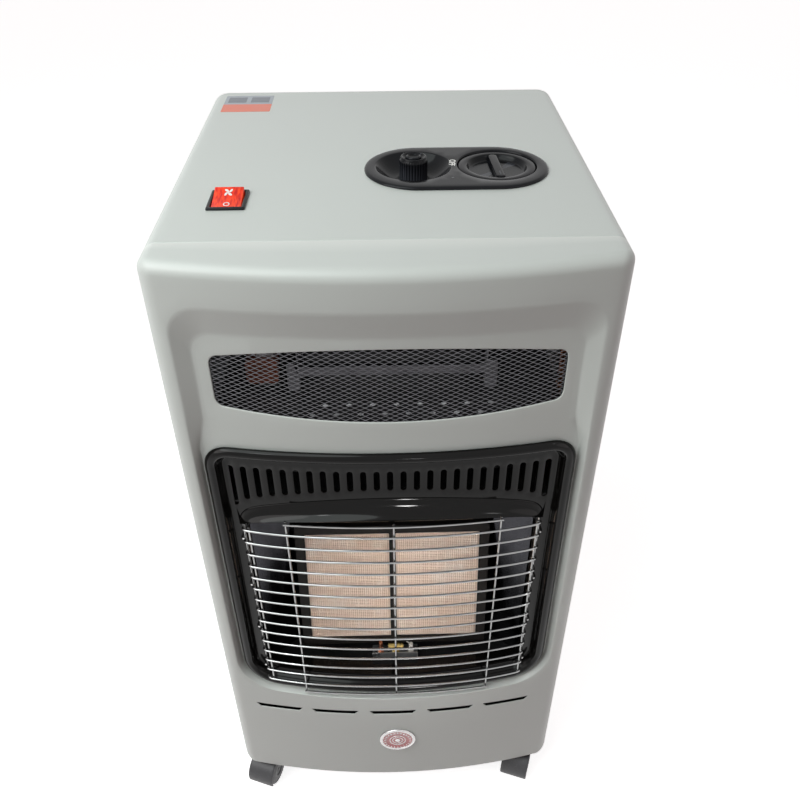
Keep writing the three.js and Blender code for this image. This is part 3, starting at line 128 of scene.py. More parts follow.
def fillBetween(outer, holes, spacing):
    loops = [np.asarray(outer, float)] + [np.asarray(hole, float) for hole in holes]
    corners, edges = [], []
    for loop in loops:
        start = len(corners)
        corners.extend(Vector(p) for p in loop)
        edges.extend((start + i, start + (i + 1) % len(loop)) for i in range(len(loop)))
    low, high = loops[0].min(0), loops[0].max(0)
    xs = np.arange(low[0] + spacing * 0.5, high[0], spacing)
    ys = np.arange(low[1] + spacing * 0.5, high[1], spacing)
    grid = np.array([(x, y) for y in ys for x in xs])
    keep = insideLoop(grid, loops[0])
    for hole in loops[1:]:
        keep &= ~insideLoop(grid, hole)
    border = np.concatenate(loops)
    for i in np.nonzero(keep)[0]:
        if np.min(np.abs(border - grid[i]).max(1)) < spacing * 0.35:
            keep[i] = False
    corners.extend(Vector(p) for p in grid[keep])
    made = geometry.delaunay_2d_cdt(corners, edges, [], 0, 1e-5)
    points = np.array([tuple(p) for p in made[0]])
    triangles = np.array([list(t) for t in made[2]])
    middles = points[triangles].mean(1)
    wanted = insideLoop(middles, loops[0])
    for hole in loops[1:]:
        wanted &= ~insideLoop(middles, hole)
    return points, triangles[wanted].tolist()


shading = {"weld": 0.002, "sharpFrom": 38}  # millimetres, and degrees between two faces


def smoothGroup():  # shades smooth across shallow edges and keeps the sharp ones
    tree = bpy.data.node_groups.new("shadeByAngle", "GeometryNodeTree")
    tree.interface.new_socket("Geometry", in_out="INPUT", socket_type="NodeSocketGeometry")
    tree.interface.new_socket("Geometry", in_out="OUTPUT", socket_type="NodeSocketGeometry")
    start, end = tree.nodes.new("NodeGroupInput"), tree.nodes.new("NodeGroupOutput")
    drop = tree.nodes.new("GeometryNodeRemoveAttribute")
    drop.inputs["Name"].default_value = "custom_normal"
    merge = tree.nodes.new("GeometryNodeMergeByDistance")
    merge.inputs["Distance"].default_value = shading["weld"] * mm
    faces = tree.nodes.new("GeometryNodeSetShadeSmooth")
    edges = tree.nodes.new("GeometryNodeSetShadeSmooth")
    edges.domain = "EDGE"
    angle = tree.nodes.new("GeometryNodeInputMeshEdgeAngle")
    above = tree.nodes.new("FunctionNodeCompare")
    above.inputs["B"].default_value = math.radians(shading["sharpFrom"])
    tree.links.new(start.outputs[0], drop.inputs["Geometry"])
    tree.links.new(drop.outputs["Geometry"], merge.inputs["Geometry"])
    tree.links.new(merge.outputs["Geometry"], faces.inputs["Geometry"])
    tree.links.new(faces.outputs["Geometry"], edges.inputs["Geometry"])
    tree.links.new(angle.outputs["Unsigned Angle"], above.inputs["A"])
    tree.links.new(above.outputs["Result"], edges.inputs["Selection"])
    edges.inputs["Shade Smooth"].default_value = False
    tree.links.new(edges.outputs["Geometry"], end.inputs[0])
    return tree


shadeByAngle = smoothGroup()


def makeObject(name, skin, material, body="cabinet", stands=(), sharp=35, weld=0.004, thick=0,
               points=None):
    coords = toFrame(skin.points) if points is None else points
    mesh = bpy.data.meshes.new(name)
    mesh.from_pydata([tuple(p) for p in coords], [], skin.faces)
    work = bmesh.new()
    work.from_mesh(mesh)
    if weld:
        bmesh.ops.remove_doubles(work, verts=work.verts, dist=weld * mm)
    bmesh.ops.recalc_face_normals(work, faces=work.faces)
    work.to_mesh(mesh)
    work.free()
    mesh.polygons.foreach_set("use_smooth", [True] * len(mesh.polygons))
    mesh.set_sharp_from_angle(angle=math.radians(sharp))
    mesh.materials.append(material)
    obj = bpy.data.objects.new(name, mesh)
    bpy.context.scene.collection.objects.link(obj)
    if thick:
        wall = obj.modifiers.new("sheet", "SOLIDIFY")
        wall.thickness = abs(thick) * mm
        wall.offset = -1 if thick > 0 else 1
        wall.use_even_offset = True
        obj.modifiers.new("shade", "NODES").node_group = shadeByAngle
    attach(obj, body)
    if stands:
        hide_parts(*stands)
    return obj


def circle(x, y, radius, count=48, start=0.0):
    angles = [start + 2 * math.pi * i / count for i in range(count)]
    return [(x + radius * math.cos(a), y + radius * math.sin(a)) for a in angles]


def obround(x, y, length, width, half=24):  # a stadium along x
    reach, radius = (length - width) / 2, width / 2
    points = []
    for side, start in ((1, -math.pi / 2), (-1, math.pi / 2)):
        for i in range(half + 1):
            a = start + math.pi * i / half
            points.append((x + side * reach + radius * math.cos(a), y + radius * math.sin(a)))
    return points


def roundedBox(x0, x1, y0, y1, radius, steps=6):
    points = []
    corners = ((x1, y0, -90), (x1, y1, 0), (x0, y1, 90), (x0, y0, 180))
    for x, y, start in corners:
        cx = x - radius if x == x1 else x + radius
        cy = y - radius if y == y1 else y + radius
        for i in range(steps + 1):
            a = math.radians(start + 90 * i / steps)
            points.append((cx + radius * math.cos(a), cy + radius * math.sin(a)))
    return points


def tube(skin, path, radius, sides=10, caps=True):
    path = [Vector(p) for p in path]
    across = None
    rings = []
    for i, p in enumerate(path):
        heading = (path[min(i + 1, len(path) - 1)] - path[max(i - 1, 0)]).normalized()
        if across is None:
            across = heading.orthogonal().normalized()
        across = (across - heading * across.dot(heading)).normalized()
        up = heading.cross(across)
        size = radius(i / (len(path) - 1)) if callable(radius) else radius
        rings.append([p + across * size * math.cos(2 * math.pi * k / sides)
                      + up * size * math.sin(2 * math.pi * k / sides) for k in range(sides)])
    skin.rings(rings, capStart=caps, capEnd=caps)


def lathe(skin, profile, place, sides=48):  # [radius, height] points turned about an axis, put in by place
    rings = []
    for radius, height in profile:
        ring = []
        for i in range(sides):
            a = 2 * math.pi * i / sides
            ring.append(place(Vector((max(radius, 0.02) * math.cos(a), max(radius, 0.02) * math.sin(a), height))))
        rings.append(ring)
    skin.rings(rings, capStart=profile[0][0] < 0.05, capEnd=profile[-1][0] < 0.05)


def smoothCurve(points, steps=5):  # a curve through the points
    points = [np.array(p, float) for p in points]
    points = [2 * points[0] - points[1]] + points + [2 * points[-1] - points[-2]]
    made = []
    for i in range(1, len(points) - 2):
        p0, p1, p2, p3 = points[i - 1:i + 3]
        for k in range(steps):
            t = k / steps
            made.append(0.5 * (2 * p1 + (p2 - p0) * t + (2 * p0 - 5 * p1 + 4 * p2 - p3) * t ** 2
                               + (3 * p1 - p0 - 3 * p2 + p3) * t ** 3))
    made.append(points[-2])
    return [tuple(p) for p in made]


# Materials

def newMaterial(name):
    material = bpy.data.materials.new(name)
    material.use_nodes = True
    tree = material.node_tree
    shader = tree.nodes["Principled BSDF"]
    return material, tree, shader


def link(tree, a, b):
    tree.links.new(a, b)


def objectCoords(tree, scale=(1, 1, 1)):
    coords = tree.nodes.new("ShaderNodeTexCoord")
    mapping = tree.nodes.new("ShaderNodeMapping")
    mapping.inputs["Scale"].default_value = scale
    link(tree, coords.outputs["Object"], mapping.inputs["Vector"])
    return mapping.outputs["Vector"]


def noise(tree, coords, scale, detail=3, rough=0.55):
    node = tree.nodes.new("ShaderNodeTexNoise")
    node.inputs["Scale"].default_value = scale
    node.inputs["Detail"].default_value = detail
    node.inputs["Roughness"].default_value = rough
    link(tree, coords, node.inputs["Vector"])
    return node.outputs["Fac"]


def spread(tree, value, low, high, start=0.3, end=0.7):  # maps a grey value onto a range
    node = tree.nodes.new("ShaderNodeMapRange")
    for key, number in (("From Min", start), ("From Max", end), ("To Min", low), ("To Max", high)):
        node.inputs[key].default_value = number
    link(tree, value, node.inputs["Value"])
    return node.outputs["Result"]


def mixColours(tree, share, a, b):
    node = tree.nodes.new("ShaderNodeMix")
    node.data_type = "RGBA"
    for index, colour in ((6, a), (7, b)):
        if isinstance(colour, tuple):
            node.inputs[index].default_value = (*colour, 1)
        else:
            link(tree, colour, node.inputs[index])
    link(tree, share, node.inputs[0])
    return node.outputs[2]


def bump(tree, shader, height, strength, distance):
    node = tree.nodes.new("ShaderNodeBump")
    node.inputs["Strength"].default_value = strength
    node.inputs["Distance"].default_value = distance * mm
    link(tree, height, node.inputs["Height"])
    link(tree, node.outputs["Normal"], shader.inputs["Normal"])


def edgeWearAndHighlight(tree, width=0.55):  # lighter where the surface turns sharply outwards: partly rubbed wear, partly a painted highlight along the edges
    geometryNode = tree.nodes.new("ShaderNodeNewGeometry")
    return spread(tree, geometryNode.outputs["Pointiness"], 0, 1, width, width + 0.05)


def finish(name, colour, roughness, metallic=0.0, tone=0.06, toneScale=9, grain=900, grainBump=0.1,
           grainDepth=0.05, roughSpread=0.08, stretch=(1, 1, 1), edgeWearAndHighlightColour=None, coat=0.0, coatRoughness=0.1,
           specular=0.5, dust=0.0):
    material, tree, shader = newMaterial(name)
    coords = objectCoords(tree, stretch)
    cloud = noise(tree, coords, toneScale)
    fine = noise(tree, coords, grain, 2)
    darker = tuple(c * (1 - tone) for c in colour)
    lighter = tuple(min(c * (1 + tone), 1) for c in colour)
    tint = mixColours(tree, spread(tree, cloud, 0, 1), darker, lighter)
    if dust:
        speck = noise(tree, coords, toneScale * 14, 5, 0.7)
        dusty = tuple(c * 0.5 + 0.3 for c in colour)
        tint = mixColours(tree, spread(tree, speck, 0, dust, 0.55, 0.75), tint, dusty)
    # sharp convex edges take a lighter colour: partly wear, partly painted highlight
    if edgeWearAndHighlightColour:
        tint = mixColours(tree, edgeWearAndHighlight(tree), tint, edgeWearAndHighlightColour)
    link(tree, tint, shader.inputs["Base Color"])
    link(tree, spread(tree, cloud, roughness - roughSpread / 2, roughness + roughSpread / 2),
         shader.inputs["Roughness"])
    shader.inputs["Metallic"].default_value = metallic
    shader.inputs["Coat Weight"].default_value = coat
    shader.inputs["Coat Roughness"].default_value = coatRoughness
    shader.inputs["Specular IOR Level"].default_value = specular
    bump(tree, shader, fine, grainBump, grainDepth)
    return material


def srgb(r, g, b):  # a colour as seen on screen, 0 to 255
    return tuple(((v / 255 + 0.055) / 1.055) ** 2.4 if v > 10 else v / 255 / 12.92 for v in (r, g, b))


# The edge colours below lighten the sharp edges of the paint, the black plastics and the caster nylon: partly wear,
# partly painted highlight.
paint = finish("cabinetPaint", srgb(204, 210, 206), 0.36, tone=0.015, toneScale=5, grain=1400, grainBump=0.12,
               grainDepth=0.03, roughSpread=0.05, edgeWearAndHighlightColour=srgb(222, 226, 222), coat=0.15, coatRoughness=0.3)
enamel = finish("glossBlackEnamel", srgb(12, 11, 10), 0.1, tone=0.12, toneScale=30, grain=320, grainBump=0.12,
                grainDepth=0.05, roughSpread=0.05, coat=0.12, coatRoughness=0.03, specular=0.12)
chrome = finish("brightChrome", srgb(150, 150, 150), 0.14, metallic=1, tone=0.1, toneScale=60, grain=500,
                grainBump=0.08, grainDepth=0.03, roughSpread=0.1)
# Painted shade: the reflector steel is far darker than polished steel, standing in for the dark interior it mirrors;
# its strong streaky tone is partly the steel's grain and partly painted streaks of reflection.
reflectorSteelPaintedDark = finish("reflectorSteelPaintedDark", srgb(62, 62, 66), 0.2, metallic=1, tone=0.45, toneScale=26, grain=60,
                        grainBump=0.25, grainDepth=0.6, roughSpread=0.14, stretch=(1, 1, 0.35))
galvanised = finish("galvanisedSheet", srgb(165, 168, 170), 0.42, metallic=0.85, tone=0.16, toneScale=70,
                    grain=260, grainBump=0.1, grainDepth=0.05, roughSpread=0.2)
meshSteel = finish("meshSteel", srgb(112, 112, 116), 0.4, metallic=0.6, tone=0.2, toneScale=80, grain=800,
                   roughSpread=0.15)
darkSteel = finish("heatDarkSteel", srgb(34, 34, 35), 0.5, metallic=0.5, tone=0.3, toneScale=26, grain=500,
                   grainBump=0.15, roughSpread=0.2, dust=0.12)
greyBracket = finish("greyBracketSteel", srgb(150, 150, 156), 0.42, metallic=0.3, tone=0.15, toneScale=40,
                      grain=500, roughSpread=0.15)
brownSteel = finish("heatBrownSteel", srgb(24, 21, 19), 0.45, metallic=0.2, tone=0.35, toneScale=40, grain=500,
                    roughSpread=0.2, specular=0.15)
zinc = finish("zincPlate", srgb(176, 178, 180), 0.32, metallic=0.9, tone=0.1, toneScale=60, grain=600,
              roughSpread=0.16)
brass = finish("turnedBrass", srgb(196, 168, 104), 0.28, metallic=1, tone=0.12, toneScale=50, grain=700,
               roughSpread=0.16)
copper = finish("drawnCopper", srgb(190, 124, 92), 0.3, metallic=1, tone=0.16, toneScale=40, grain=600,
                roughSpread=0.16)
porcelain = finish("whitePorcelain", srgb(232, 228, 220), 0.2, tone=0.05, toneScale=40, grain=400, coat=0.6)
controlBlack = finish("controlBlack", srgb(22, 23, 26), 0.14, tone=0.12, toneScale=40, grain=1500, grainBump=0.12,
                      grainDepth=0.03, roughSpread=0.06, edgeWearAndHighlightColour=srgb(48, 50, 54), specular=0.13)
knobBlack = finish("knobBlack", srgb(15, 16, 19), 0.16, tone=0.12, toneScale=50, grain=1500, grainBump=0.12,
                   grainDepth=0.03, roughSpread=0.06, edgeWearAndHighlightColour=srgb(60, 62, 68), specular=0.12)
casterNylon = finish("casterNylon", srgb(66, 66, 69), 0.42, tone=0.1, toneScale=40, grain=900, grainBump=0.25,
                     roughSpread=0.12, edgeWearAndHighlightColour=srgb(104, 104, 108), dust=0.15)
markWhite = finish("printedWhite", srgb(244, 244, 240), 0.4, tone=0.03, toneScale=90, grain=900)
dotGrey = finish("printedGrey", srgb(64, 66, 70), 0.4, tone=0.05, toneScale=90, grain=900)
print("materials ready")


# Outlines shared by the pressed front, the enamel surround and the burner mouth

pressing = {
    "depth": 10,
    "outer": {"halfWidth": 183, "bottom": 170, "top": 700, "topRadius": 30, "bottomRadius": 44, "sag": 9,
              "pinch": 0},
    "inner": {"halfWidth": 176.5, "bottom": 174, "top": 666.5, "topRadius": 20, "bottomRadius": 40, "sag": 9,
              "pinch": 10},
    "ease": 0.12,  # share of the slope that is rounded at each end
}
pinchZone = {"from": 540, "over": 45}  # the height at which the sides start to draw in, and over how much
surround = {
    "frame": {"halfWidth": 175.5, "bottom": 176.5, "top": 547, "topRadius": 26, "bottomRadius": 38, "sag": 9,
              "pinch": 0},
    "profile": [(0, 8.3), (0.7, 6.2), (2.4, 4.2), (5, 3), (8, 3.2), (11, 6), (14, 12), (17, 15.4), (21, 16)],
    "face": 16,  # depth of the slotted face behind the front
    "overlap": 9,  # how far its rim lies over the front panel
    "slots": {"count": 25, "pitch": 12.7, "width": 7.5, "shift": -1.2, "gap": 10, "high": 518, "lip": 1.1,
              "depth": 3},
    "mouth": {"halfWidth": 150, "sideTop": 446, "midTop": 461, "sideBottom": 200, "midBottom": 195, "radius": 22},
    "mouthLip": 1.5,
    "collar": 10,
    "hood": {"halfWidth": 152.6, "reach": 15, "lipMid": 467, "lipFall": 17, "creaseMid": 482.5, "creaseFall": 21,
             "endDrop": 7, "endPower": 14, "closePower": 16,  # how sharply its ends turn down and close
             "band": (0.26, 0.52)},  # share of the reach and of the fall at the end of its steep upper band
}
outlet = {
    "opening": {"halfWidth": 155, "sideTop": 648, "midTop": 659, "sideBottom": 591, "midBottom": 580, "radius": 11},
    "lip": 1.1,
    "meshDepth": 11.6,
    "strand": 0.62,
    "diamond": (8.8, 4.6),
    "border": 3,
}


def frameOutline(shape, inset, cornerSteps=10, edgeSteps=36):
    w = shape["halfWidth"] - inset
    low, high = shape["bottom"] + inset, shape["top"] - inset
    points = []
    corners = ((1, -1, shape["bottomRadius"]), (1, 1, shape["topRadius"]),
               (-1, 1, shape["topRadius"]), (-1, -1, shape["bottomRadius"]))
    for k, (sideX, sideZ, outerRadius) in enumerate(corners):
        radius = max(outerRadius - inset, 2)
        cx = sideX * (w - radius)
        cz = high - radius if sideZ > 0 else low + radius
        for i in range(cornerSteps + 1):
            a = (k - 1 + i / cornerSteps) * math.pi / 2
            points.append(np.array([cx + radius * math.cos(a), cz + radius * math.sin(a)]))
        nextX = (w - max(corners[(k + 1) % 4][2] - inset, 2)) * (1, -1, -1, 1)[k]
        nextRadius = max(corners[(k + 1) % 4][2] - inset, 2)
        target = {0: (w, high - nextRadius), 1: (nextX, high), 2: (-w, low + nextRadius), 3: (nextX, low)}[k]
        steps = edgeSteps if k in (1, 3) else 12
        here = points[-1]
        points.extend(here + (np.array(target) - here) * i / steps for i in range(1, steps))
    middle = (low + high) / 2
    for p in points:
        if p[1] < middle:
            p[1] += shape["sag"] * (p[0] / shape["halfWidth"]) ** 2
        elif shape["pinch"]:  # the sides draw in towards the top
            t = min(max((p[1] - pinchZone["from"]) / pinchZone["over"], 0), 1)
            p[0] *= 1 - shape["pinch"] * t * t * (3 - 2 * t) / shape["halfWidth"]
    return points


def mixShapes(a, b, share):
    return {key: a[key] + (b[key] - a[key]) * share for key in a}


def lensOutline(shape, grow=0.0, across=48, upright=10, corner=6):
    x, r = shape["halfWidth"] + grow, shape["radius"]
    high, low = shape["sideTop"] + grow, shape["sideBottom"] - grow

    def arch(rise):
        return [(u, rise * (1 - (u / (x - r)) ** 2)) for u in np.linspace(r - x, x - r, across)]

    def bend(a, b, c):
        made = []
        for i in range(1, corner):
            t = i / corner
            made.append(tuple((1 - t) ** 2 * a[k] + 2 * t * (1 - t) * b[k] + t * t * c[k] for k in (0, 1)))
        return made

    top = [(u, high + v) for u, v in arch(shape["midTop"] - shape["sideTop"])]
    bottom = [(u, low + v) for u, v in reversed(arch(shape["midBottom"] - shape["sideBottom"]))]
    right = [(x, z) for z in np.linspace(high - r, low + r, upright)]
    left = [(-x, z) for z in np.linspace(low + r, high - r, upright)]
    return (top + bend((x - r, high), (x, high), (x, high - r)) + right
            + bend((x, low + r), (x, low), (x - r, low)) + bottom
            + bend((r - x, low), (-x, low), (-x, low + r)) + left
            + bend((-x, high - r), (-x, high), (r - x, high)))


def slotOutline(x, low, high, width, steps=6):
    r = width / 2
    points = []
    for side, centre in ((0, high - r), (1, low + r)):
        for i in range(steps + 1):
            a = math.pi * (side + i / steps)
            points.append((x + r * math.cos(a), centre + r * math.sin(a)))
    return points


def rolledLip(outlineAt, depth, radius, turns=(0, 0.25, 0.5, 0.75, 1)):  # an edge that rolls inwards
    rings = []
    for turn in turns:
        a = turn * math.pi / 2
        rings.append([(u, depth + radius * (1 - math.cos(a)), v) for u, v in outlineAt(radius * math.sin(a))])
    return rings


# Pressed steel front

frontPanel = {
    "sideRoll": 14, "topRoll": 11, "bottomRoll": 4,
    "cornerRadius": 12,
    "returnDepth": 31.9,
    "ventCentres": [-140, -72.5, -3, 66, 134],
    "ventLength": 57, "ventHeight": 7.4, "ventBottom": 138, "ventTaper": 5,
}


def rollRing(turn):  # a ring of the rolled edge, turned from the face (0) to the side (1)
    p, half, height = frontPanel, cabinet["halfWidth"], cabinet["height"]
    a = turn * math.pi / 2
    rise = 1 - math.sin(a)
    x1 = half - p["sideRoll"] * rise
    z0, z1 = p["bottomRoll"] * rise, height - p["topRoll"] * rise
    radius = 3 + (p["cornerRadius"] - 3) * math.sin(a)
    ring = []
    corners = ((1, z0, "bottomRoll", -90), (1, z1, "topRoll", 0), (-1, z1, "topRoll", 90), (-1, z0, "bottomRoll", 180))
    for k, (side, z, roll, start) in enumerate(corners):
        cx, cz = side * (x1 - radius), z - radius if z == z1 else z + radius
        for i in range(9):
            b = math.radians(start + 90 * i / 8)
            flat = math.cos(b) ** 2
            depth = (p["sideRoll"] * flat + p[roll] * (1 - flat)) * (1 - math.cos(a))
            ring.append((cx + radius * math.cos(b), depth, cz + radius * math.sin(b)))
        steps = 44 if k in (1, 3) else 30
        last = ring[-1]
        nextZ = {0: z1 - radius, 1: z1, 2: z0 + radius, 3: z0}[k]
        nextX = {0: x1, 1: -(x1 - radius), 2: -x1, 3: x1 - radius}[k]
        for i in range(1, steps):
            t = i / steps
            ring.append((last[0] + (nextX - last[0]) * t, last[1], last[2] + (nextZ - last[2]) * t))
    return ring


def rampAt(share, ease):  # a straight ramp from 0 to 1 with rounded ends
    if share < ease:
        return share ** 2 / (2 * ease * (1 - ease))
    if share > 1 - ease:
        return 1 - (1 - share) ** 2 / (2 * ease * (1 - ease))
    return (share - ease / 2) / (1 - ease)


def makeFrontPanel():
    skin = Skin()
    rolls = [rollRing(i / 8) for i in range(9)]
    back = [(x, frontPanel["returnDepth"], z) for x, y, z in rolls[-1]]
    middle = [(x, cabinet["bowFull"], z) for x, y, z in rolls[-1]]
    skin.rings(rolls + [middle, back])
    outer = [(x, z) for x, y, z in rolls[0]]
    rim = frameOutline(pressing["outer"], 0)
    vents = []
    for centre in frontPanel["ventCentres"]:
        x, taper, low = frontPanel["ventLength"] / 2, frontPanel["ventTaper"], frontPanel["ventBottom"]
        high = low + frontPanel["ventHeight"]
        bottom = [(centre - x + taper + (2 * x - 2 * taper) * i / 8, low) for i in range(9)]
        top = [(centre + x - 1 - (2 * x - 2) * i / 8, high) for i in range(9)]
        vents.append(bottom + [(centre + x, high - 1)] + top + [(centre - x, high - 1)])
    skin.fill(outer, [rim, *vents], lambda u, v: (u, 0, v), 9)
    for vent in vents:  # their edges are turned in
        lip = [[(u, 0, v) for u, v in vent]]
        cx, cz = np.mean([p[0] for p in vent]), np.mean([p[1] for p in vent])
        lip.append([(u + (cx - u) * 0.006, 0.3, v + (cz - v) * 0.04) for u, v in vent])
        lip.append([(u + (cx - u) * 0.008, 1.0, v + (cz - v) * 0.06) for u, v in vent])
        skin.rings(lip)
    wall = []
    steps = 12
    for i in range(steps + 1):
        share = i / steps
        depth = pressing["depth"] * rampAt(share, pressing["ease"])
        wall.append([(x, depth, z) for x, z in frameOutline(mixShapes(pressing["outer"], pressing["inner"], share), 0)])
    skin.rings(wall)
    inner = [(x, z) for x, y, z in wall[-1]]
    opening = lensOutline(outlet["opening"])
    burner = frameOutline(surround["frame"], surround["overlap"], edgeSteps=24)
    skin.fill(inner, [opening, burner], lambda u, v: (u, pressing["depth"], v), 9)
    skin.rings(rolledLip(lambda inset: lensOutline(outlet["opening"], -inset), pressing["depth"], outlet["lip"]))
    skin.points = [tuple(p) for p in bent(skin.points)]
    return makeObject("frontPressing", skin, paint, stands=["front_panel"], thick=0.9,
                      sharp=50)


makeFrontPanel()
print("front pressing")


# Top panel, with rolled sides and a seam behind the front pressing

topPanel = {"front": 32.4, "sideRoll": 12, "backRoll": 3, "frontRoll": 0.9, "backRadius": 15, "skirt": 21.8}
controls = {
    "bezelX": 68, "bezelY": 181, "bezelLength": 176, "bezelWidth": 103, "rim": 3,
    "floor": 719, "dish": 724, "dishRadius": 36,
    "dialX": 107, "dialY": 183, "dialRadius": 37.3, "igniterX": 27,
    "switchX": -140, "switchY": 113, "switchWidth": 34, "switchLength": 41, "switchHeight": 2.4,
}


def frontFall(x, own):  # how far the front edge lies below the top, along the rolled sides
    roll = topPanel["sideRoll"]
    over = min(max(abs(x) - (cabinet["halfWidth"] - roll), 0), roll)
    return own + roll - math.sqrt(max(roll ** 2 - over ** 2, 0))


def topRing(turn, drop=0.0):
    p, half = topPanel, cabinet["halfWidth"]
    a = turn * math.pi / 2
    ring = []
    rolls = {"side": p["sideRoll"], "back": p["backRoll"], "front": p["frontRoll"]}
    inset = {key: size * (1 - math.sin(a)) for key, size in rolls.items()}
    fall = {key: size * (1 - math.cos(a)) for key, size in rolls.items()}
    x1, y0, y1 = half - inset["side"], p["front"] + inset["front"], cabinet["back"] - inset["back"]
    corners = ((1, y0, 1.0, -90, "front"), (1, y1, p["backRadius"] * (0.55 + 0.45 * turn), 0, "back"),
               (-1, y1, p["backRadius"] * (0.55 + 0.45 * turn), 90, "back"), (-1, y0, 1.0, 180, "front"))
    for k, (side, y, radius, start, edge) in enumerate(corners):
        cx, cy = side * (x1 - radius), y - radius if edge == "back" else y + radius
        for i in range(9):
            b = math.radians(start + 90 * i / 8)
            flat = math.cos(b) ** 2
            x = cx + radius * math.cos(b)
            low = fall["side"] * flat + fall[edge] * (1 - flat)
            if edge == "front":
                low = frontFall(x, fall["front"] * (1 - flat))
            z = cabinet["height"] - low - drop * max(p["skirt"] - low, 0)
            ring.append((x, cy + radius * math.sin(b), z))
        nextRadius = corners[(k + 1) % 4][2]
        target = {0: (x1, y1 - nextRadius), 1: (-(x1 - nextRadius), y1), 2: (-x1, y0 + nextRadius),
                  3: (x1 - nextRadius, y0)}[k]
        last = ring[-1]
        for i in range(1, 40):
            t = i / 40 if k != 3 else 0.5 - 0.5 * math.cos(math.pi * i / 40)
            x, y, z = last[0] + (target[0] - last[0]) * t, last[1] + (target[1] - last[1]) * t, last[2]
            if k == 3:
                low = frontFall(x, fall["front"])
                z = cabinet["height"] - low - drop * max(p["skirt"] - low, 0)
            ring.append((x, y, z))
    return ring


def makeTopPanel():
    skin = Skin()
    c = controls
    rolls = [topRing(i / 8) for i in range(9)] + [topRing(1, 1)]
    skin.rings(rolls)
    bezelHole = obround(c["bezelX"], c["bezelY"], c["bezelLength"] - 9, c["bezelWidth"] - 9, 16)
    w, l = c["switchWidth"] / 2 - 1.7, c["switchLength"] / 2 - 1.7
    switchHole = roundedBox(c["switchX"] - w, c["switchX"] + w, c["switchY"] - l, c["switchY"] + l, 1, 2)
    skin.fill([(x, y) for x, y, z in rolls[0]], [bezelHole, switchHole],
              lambda u, v: (u, v, cabinet["height"]), 14)
    return makeObject("topCover", skin, paint, stands=["top_panel"], thick=1, sharp=50)


makeTopPanel()
print("top cover")


# Gloss enamel surround with its slots and hood

def hoodAt(x):  # lip and crease heights and reach, at a distance from the middle
    h = surround["hood"]
    share = (x / surround["mouth"]["halfWidth"]) ** 2
    along = abs(x) / h["halfWidth"]
    lip = h["lipMid"] - h["lipFall"] * share - h["endDrop"] * along ** h["endPower"]
    crease = h["creaseMid"] - h["creaseFall"] * share
    close = math.sqrt(max(1 - along ** h["closePower"], 0.0))
    return lip, lip + (crease - lip) * max(close, 0.02), h["reach"] * (1 - 0.45 * share) * (0.3 + 0.7 * close)


def makeSurround():
    s = surround
    skin = Skin()
    profile = smoothCurve(s["profile"], 4)
    wall = [[(x, depth, z) for x, z in frameOutline(s["frame"], inset)] for inset, depth in profile]
    skin.rings(wall)
    inner = [(x, z) for x, y, z in wall[-1]]
    slots = []
    m = s["slots"]
    places = []
    for i in range(m["count"]):
        x = (i - (m["count"] - 1) / 2) * m["pitch"] + m["shift"]
        places.append((x, hoodAt(x * 0.97)[1] + m["gap"]))
        slots.append(slotOutline(x, places[-1][1], m["high"], m["width"]))
    mouth = lensOutline(s["mouth"])
    skin.fill(inner, [mouth, *slots], lambda u, v: (u, s["face"], v), 7)
    for x, low in places:
        rings = rolledLip(lambda cut: slotOutline(x, low + cut, m["high"] - cut, m["width"] - 2 * cut),
                          s["face"], m["lip"], (0, 0.5, 1))
        rings.append([(u, s["face"] + m["depth"], v) for u, y, v in rings[-1]])
        skin.rings(rings)
    collar = rolledLip(lambda inset: lensOutline(s["mouth"], -inset), s["face"], s["mouthLip"])
    collar.append([(u, s["face"] + s["collar"], v) for u, v in lensOutline(s["mouth"], -s["mouthLip"])])
    skin.rings(collar)
    hood = []
    columns, arc = 120, 12
    for i in range(columns + 1):
        x = s["hood"]["halfWidth"] * -math.cos(math.pi * i / columns)
        low, high, reach = hoodAt(x)
        row = [(x, s["face"] + 0.7, high + 0.9), (x, s["face"] - 0.5, high + 0.9), (x, s["face"] - 1.1, high + 0.3)]
        out, down = s["hood"]["band"]
        for k in range(1, arc + 1):
            t = k / arc
            u = 2 * t * (1 - t) * out + t * t
            v = 2 * t * (1 - t) * down * 1.5 + t * t
            row.append((x, s["face"] - 1.2 - (reach - 1.2) * u, high + (low - high) * v))
        row.append((x, s["face"] - reach + 0.6, low - 0.9))
        row.append((x, s["face"] - reach + 2.2, low - 1.0))
        hood.append(row)
    skin.rings(hood, closed=False)
    skin.points = [tuple(p) for p in bent(skin.points)]
    return makeObject("burnerSurround", skin, enamel, stands=["burner_surround"], thick=1,
                      sharp=60)


makeSurround()
print("enamel surround")


# Chrome wire guard

wireGuard = {
    "wire": 1.15, "count": 15, "bottom": 196.5, "pitch": 17.7, "end": 148.5, "hook": 8,
    "shortWires": [181.2, 459.2], "innerUprights": [-104, 1.5, 107], "outerUprights": [-142, 145],
    "legs": [214.2, 285, 355.8, 426.6], "legX": 152, "legBack": 15.5,
}


